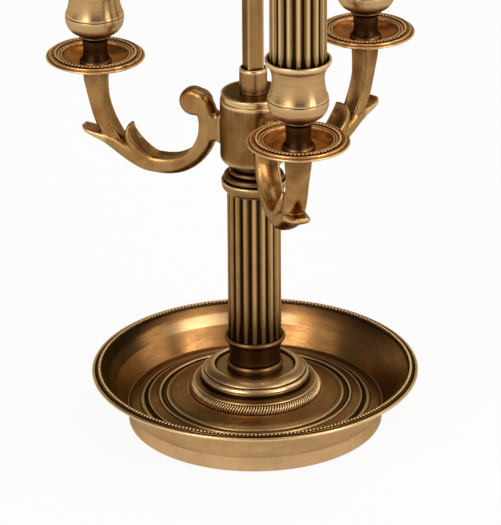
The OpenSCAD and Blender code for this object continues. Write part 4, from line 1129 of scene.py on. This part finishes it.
def shade():
    body = "shade_carriage"
    z0, z1 = low("shade_hem"), high("shade_spider")
    low_r, top_r, wire = 196.0, 160.0, 2.0
    t = 0.8
    bottom, crest = z0 + wire, z1 - 2 * wire
    outer_low, outer_top = low_r - wire, top_r - wire

    def at(h, off=0.0):
        k = (h - bottom) / (crest - bottom)
        return outer_low + (outer_top - outer_low) * k + off, h

    sheet = lathe("shade_sheet", [at(bottom, -t), at(bottom), at(crest), at(crest, -t)], 288,
                  step=5, radius=0.2)
    paint(sheet, lambda r, height, facing: facing < 0)
    dress(sheet, "shade inside", "shade_paint", "shade", body=body)

    bands = [(bottom + 9, 1.1), (bottom + 13.5, 0.45), (crest - 9, 1.1), (crest - 13.5, 0.45)]
    lines = [lathe_parts([at(h - w, -0.1), at(h - w, 0.25), at(h, 0.5), at(h + w, 0.25),
                          at(h + w, -0.1)], 288, step=2, radius=0.15) for h, w in bands]
    dress(join("shade_gilt_lines", lines), "beads", "polished_brass", body=body)

    hem = lathe("shade_hem_roll", arc(low_r - wire - 0.1, z0 + 2.0, 2.0, 0, 345, 22), 288, step=1.2)
    dress(hem, "turned", "polished_brass", "shade_hem", body=body)

    rod_z, sleeve_r = z1 - wire - 2.5, 12.9
    ring_in = top_r - 2 * wire - t
    ring = chain(
        (ring_in, z1 - 2 * wire), (outer_top, z1 - 2 * wire),
        arc(outer_top, z1 - wire, wire, -90, 90, 12), (ring_in, z1), (ring_in, z1 - wire))
    parts = [lathe_parts(ring, 240, step=2)]
    length = ring_in + 1.5 - sleeve_r
    for k in range(3):
        a = math.radians(ROD_TURN + 120 * k)
        v, faces, dark, grain, _ = lathe_parts(
            [(0, 0), (4.2, 0), (4.2, 2.2), (3.1, 3.4), (3.6, 4.4), (2.5, 6), (2.5, length - 6),
             *near(0, length, (3.4, -4.6), (3, -3.4), (4, -2), (4, 0), (0, 0))],
            32, step=9, radius=0.3)
        out = sleeve_r + v[:, 2]
        x = out * math.cos(a) - v[:, 1] * math.sin(a)
        y = out * math.sin(a) + v[:, 1] * math.cos(a)
        parts.append((np.stack([x, y, rod_z - v[:, 0]], 1), faces, dark, grain))
    dress(join("shade_spider_rods", parts), "plain", "turned_brass", "shade_spider", body=body)


def carrier():
    """The sleeve keeps its square hole from the frame; turned rings dress its ends."""
    body = "shade_carriage"
    z0, z1 = span("shade_carrier")
    r = 13.0
    for name, z, way in (("foot", z0, 1), ("head", z1, -1)):
        rows = [(r + out, z + way * up) for out, up in (
            (-0.3, 0), (0.9, 0), (1.3, 0.6), (1.3, 2.4), (0.7, 3.1), (0.7, 3.8), (0.1, 4.6),
            (-0.3, 4.6))]
        ring = lathe("carrier_ring_" + name, rows, 96, step=1.5, radius=0.25)
        dress(ring, "cup", "polished_brass", body=body)


def thumb():
    z = 0.5 * sum(span("thumb_screw"))
    start, knob, r = 6.65, 22.3, 9.0
    end = knob + 10
    threads = []
    for k in range(12):
        s = start + 0.6 + k * 1.1
        threads += [(2.55, s), (2.9, s + 0.45), (2.9, s + 0.6), (2.55, s + 1.05)]

    def knurl(angles, line):
        on = ((line[:, 0] > r - 0.5) & (line[:, 1] > knob + 3))[None, :]
        tooth = np.abs(np.sin(angles * 22))
        return -0.55 * (1 - tooth) * on, 0, 0.9 * (1 - tooth) * on - 0.2 * on

    outline = chain(
        (0, start), (2.2, start), threads, (2.9, knob), (4.9, knob), (5.2, knob + 1),
        (4.6, knob + 2.2), near(r, knob, (-1.4, 2.8), (-0.3, 3.4), (0, 4.2)),
        near(r, end, (0, -1.2), (-0.6, -0.3), (-2.2, -0.1), (-3, -0.9)), (2, end - 0.9),
        (0, end - 0.7))
    screw = lathe("thumb_knob", outline, 44 * 6, step=1.2, radius=0.25, shape=knurl)
    aim(screw, STEM_TURN, z)
    dress(screw, "plain", "polished_brass", "thumb_screw", body="thumb_screw")


def finial():
    z0 = high("stem_bar") + 0.3
    top = high("finial")
    h = top - z0
    r = 12.0

    def lobes(angles, line):
        t = (line[:, 1] - z0) / h
        on = np.clip((t - 0.36) / 0.08, 0, 1) * np.clip((0.57 - t) / 0.06, 0, 1)
        on = (on * (line[:, 0] > 5))[None, :]
        wave = np.abs(np.sin(angles * 6))
        return -0.9 * (1 - wave) ** 1.5 * on, 0, 0.9 * (1 - wave) ** 2 * on

    outline = chain(
        (0, z0 - 14), (2.9, z0 - 14), (2.9, z0), (9.9, z0), (9.9, z0 + 1.9), (9.2, z0 + 2.6),
        curve((8.6, z0 + 3.4), (4, z0 + 5), (4, z0 + 0.24 * h), 12),
        arc(5, z0 + 0.28 * h, 1.7, -75, 75, 10),
        curve((4.8, z0 + 0.33 * h), (r + 0.4, z0 + 0.35 * h), (r, z0 + 0.58 * h), 20),
        (r + 0.2, z0 + 0.595 * h), (r + 0.8, z0 + 0.605 * h), (r + 0.8, z0 + 0.63 * h),
        (r + 0.1, z0 + 0.645 * h),
        curve((r - 1, z0 + 0.66 * h), (4, z0 + 0.76 * h), (3.4, z0 + 0.83 * h), 14),
        arc(0, top - 4.2, 4.2, -36, 90, 16))
    piece = lathe("finial_turned", outline, 144, step=1.0, radius=0.25, shape=lobes)
    dress(piece, "cup", "polished_brass", "finial", body="finial")


def inner_pieces():
    """Pieces that keep their CAD shape: hidden inside, or plain in the real lamp too."""
    looks = {"felt_pad": "felt", "base_weight": "iron", "terminal_block": "plastic",
             "stem_bolt": "steel", "centre_rod": "steel", "rod_nuts": "steel",
             "rod_washer": "steel", "cord_bushing": "bushing", "arm_screws": "steel",
             "shade_carrier": "plain"}
    for side in TURNS:
        looks |= {"conduit_" + side: "steel", "lampholder_" + side: "ceramic"}
    for node, look in looks.items():
        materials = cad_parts[node].data.materials
        materials.clear()
        materials.append(MATS[look])


# ---------------------------------------------------------------- stage

def white_floor():
    half, drop, glow_share = 6.0, -0.0002, 0.92
    mesh = bpy.data.meshes.new("floor")
    corners = [(-half, -half), (half, -half), (half, half), (-half, half)]
    mesh.from_pydata([(x, y, drop) for x, y in corners], [], [[0, 1, 2, 3]])
    floor = add_object("floor", mesh)
    n = Nodes("floor_paper")
    n.set(Base_Color=(0.86, 0.86, 0.85, 1), Roughness=0.9, Specular_IOR_Level=0.1)
    glow = n.new("ShaderNodeEmission", Color=(1, 1, 1, 1))
    out = next(node for node in n.tree.nodes if node.type == "OUTPUT_MATERIAL")
    n.surface(out, n.times(n.seen(), glow_share), n.shader.outputs["BSDF"],
              glow.outputs["Emission"])
    mesh.materials.append(n.mat)


# Bright sides of the studio, in radians: azimuth, its half width and edge, height, its half
# width and edge, strength. None means all round.
STUDIO = [
    (-2.35, 0.42, 0.2, 0.5, 0.28, 0.15, 1.2),
    (-0.72, 0.3, 0.1, 0.68, 0.26, 0.12, 1.8),
    (0.12, 0.22, 0.1, 0.62, 0.3, 0.12, 1.5),
    (None, None, None, 1.57, 0.25, 0.25, 0.5),
    (1.3, 0.7, 0.4, 0.35, 0.2, 0.2, 0.34),
    (0.9, 0.4, 0.4, 0.85, 0.25, 0.2, 0.2),
]


def studio_world():
    """White behind the lamp; a soft studio of bright and dim sides for everything else."""
    world = bpy.data.worlds.new("studio")
    bpy.context.scene.world = world
    world.use_nodes = True
    g = Graph(world.node_tree)
    g.tree.nodes.clear()

    def window(value, centre, half, edge):
        """1 inside a band about centre, falling to 0 over edge."""
        off = g.math("ABSOLUTE", g.math("SUBTRACT", value, centre))
        return g.map(off, half, half + edge, 1, 0, True)

    split = g.new("ShaderNodeSeparateXYZ")
    g.put(g.new("ShaderNodeTexCoord").outputs["Generated"], split.inputs[0])
    x, y, z = split.outputs
    azimuth, height = g.math("ARCTAN2", y, x), g.math("ARCSINE", z)
    light = 0.15
    for turn, turn_half, turn_edge, up, up_half, up_edge, strength in STUDIO:
        lobe = window(height, up, up_half, up_edge)
        if turn is not None:
            lobe = g.times(window(azimuth, turn, turn_half, turn_edge), lobe)
        light = g.add(light, g.times(lobe, strength))
    ambient = g.new("ShaderNodeBackground", Color=(1.0, 0.985, 0.96, 1))
    g.put(light, ambient.inputs["Strength"])
    white = g.new("ShaderNodeBackground", Color=(1, 1, 1, 1), Strength=1.0)
    horizon = window(height, 0.0, 0.1, 0.12)
    g.surface(g.new("ShaderNodeOutputWorld"), g.times(g.seen(), horizon),
              ambient.outputs[0], white.outputs[0])


def softbox(name, place, size, power):
    """A rectangular lamp that shines at the lamp's base."""
    light = bpy.data.lights.new(name, "AREA")
    light.shape = "RECTANGLE"
    light.size, light.size_y = size
    light.energy = power
    obj = add_object(name, light)
    obj.location = place
    way = Vector((0, 0, 0.2)) - Vector(place)
    obj.rotation_euler = way.to_track_quat("-Z", "Y").to_euler()


def camera():
    """The photograph's view: a long lens that looks down at the lamp from the front."""
    focal_px, distance, tilt, aim_z, aside, roll = 4244.9, 3221.0, 24.35, 128.98, -2.94, 0.39
    photo_high = 525
    data = bpy.data.cameras.new("camera")
    data.sensor_width = 36
    data.lens = focal_px / photo_high * data.sensor_width
    data.clip_end = 50
    cam = add_object("camera", data)
    e = math.radians(tilt)
    place = (aside * MM, -distance * math.cos(e) * MM, (aim_z + distance * math.sin(e)) * MM)
    cam.matrix_world = (Matrix.Translation(place) @ Matrix.Rotation(math.radians(90) - e, 4, "X")
                        @ Matrix.Rotation(-math.radians(roll), 4, "Z"))
    bpy.context.scene.camera = cam


for build in (camera, base_dish, foot, socket, column, capital, hub, stem, arms, pans, cups,
              candles, bulbs, lampholders, shade, carrier, thumb, finial, inner_pieces,
              white_floor, studio_world):
    build()
softbox("key", (-1.3, -1.6, 1.5), (0.9, 1.2), 14)
softbox("fill", (1.7, -1.2, 1.1), (0.8, 1.2), 12)
softbox("top", (0.2, 0.3, 2.4), (1.4, 1.4), 9)
bpy.context.scene.view_settings.view_transform = "Standard"
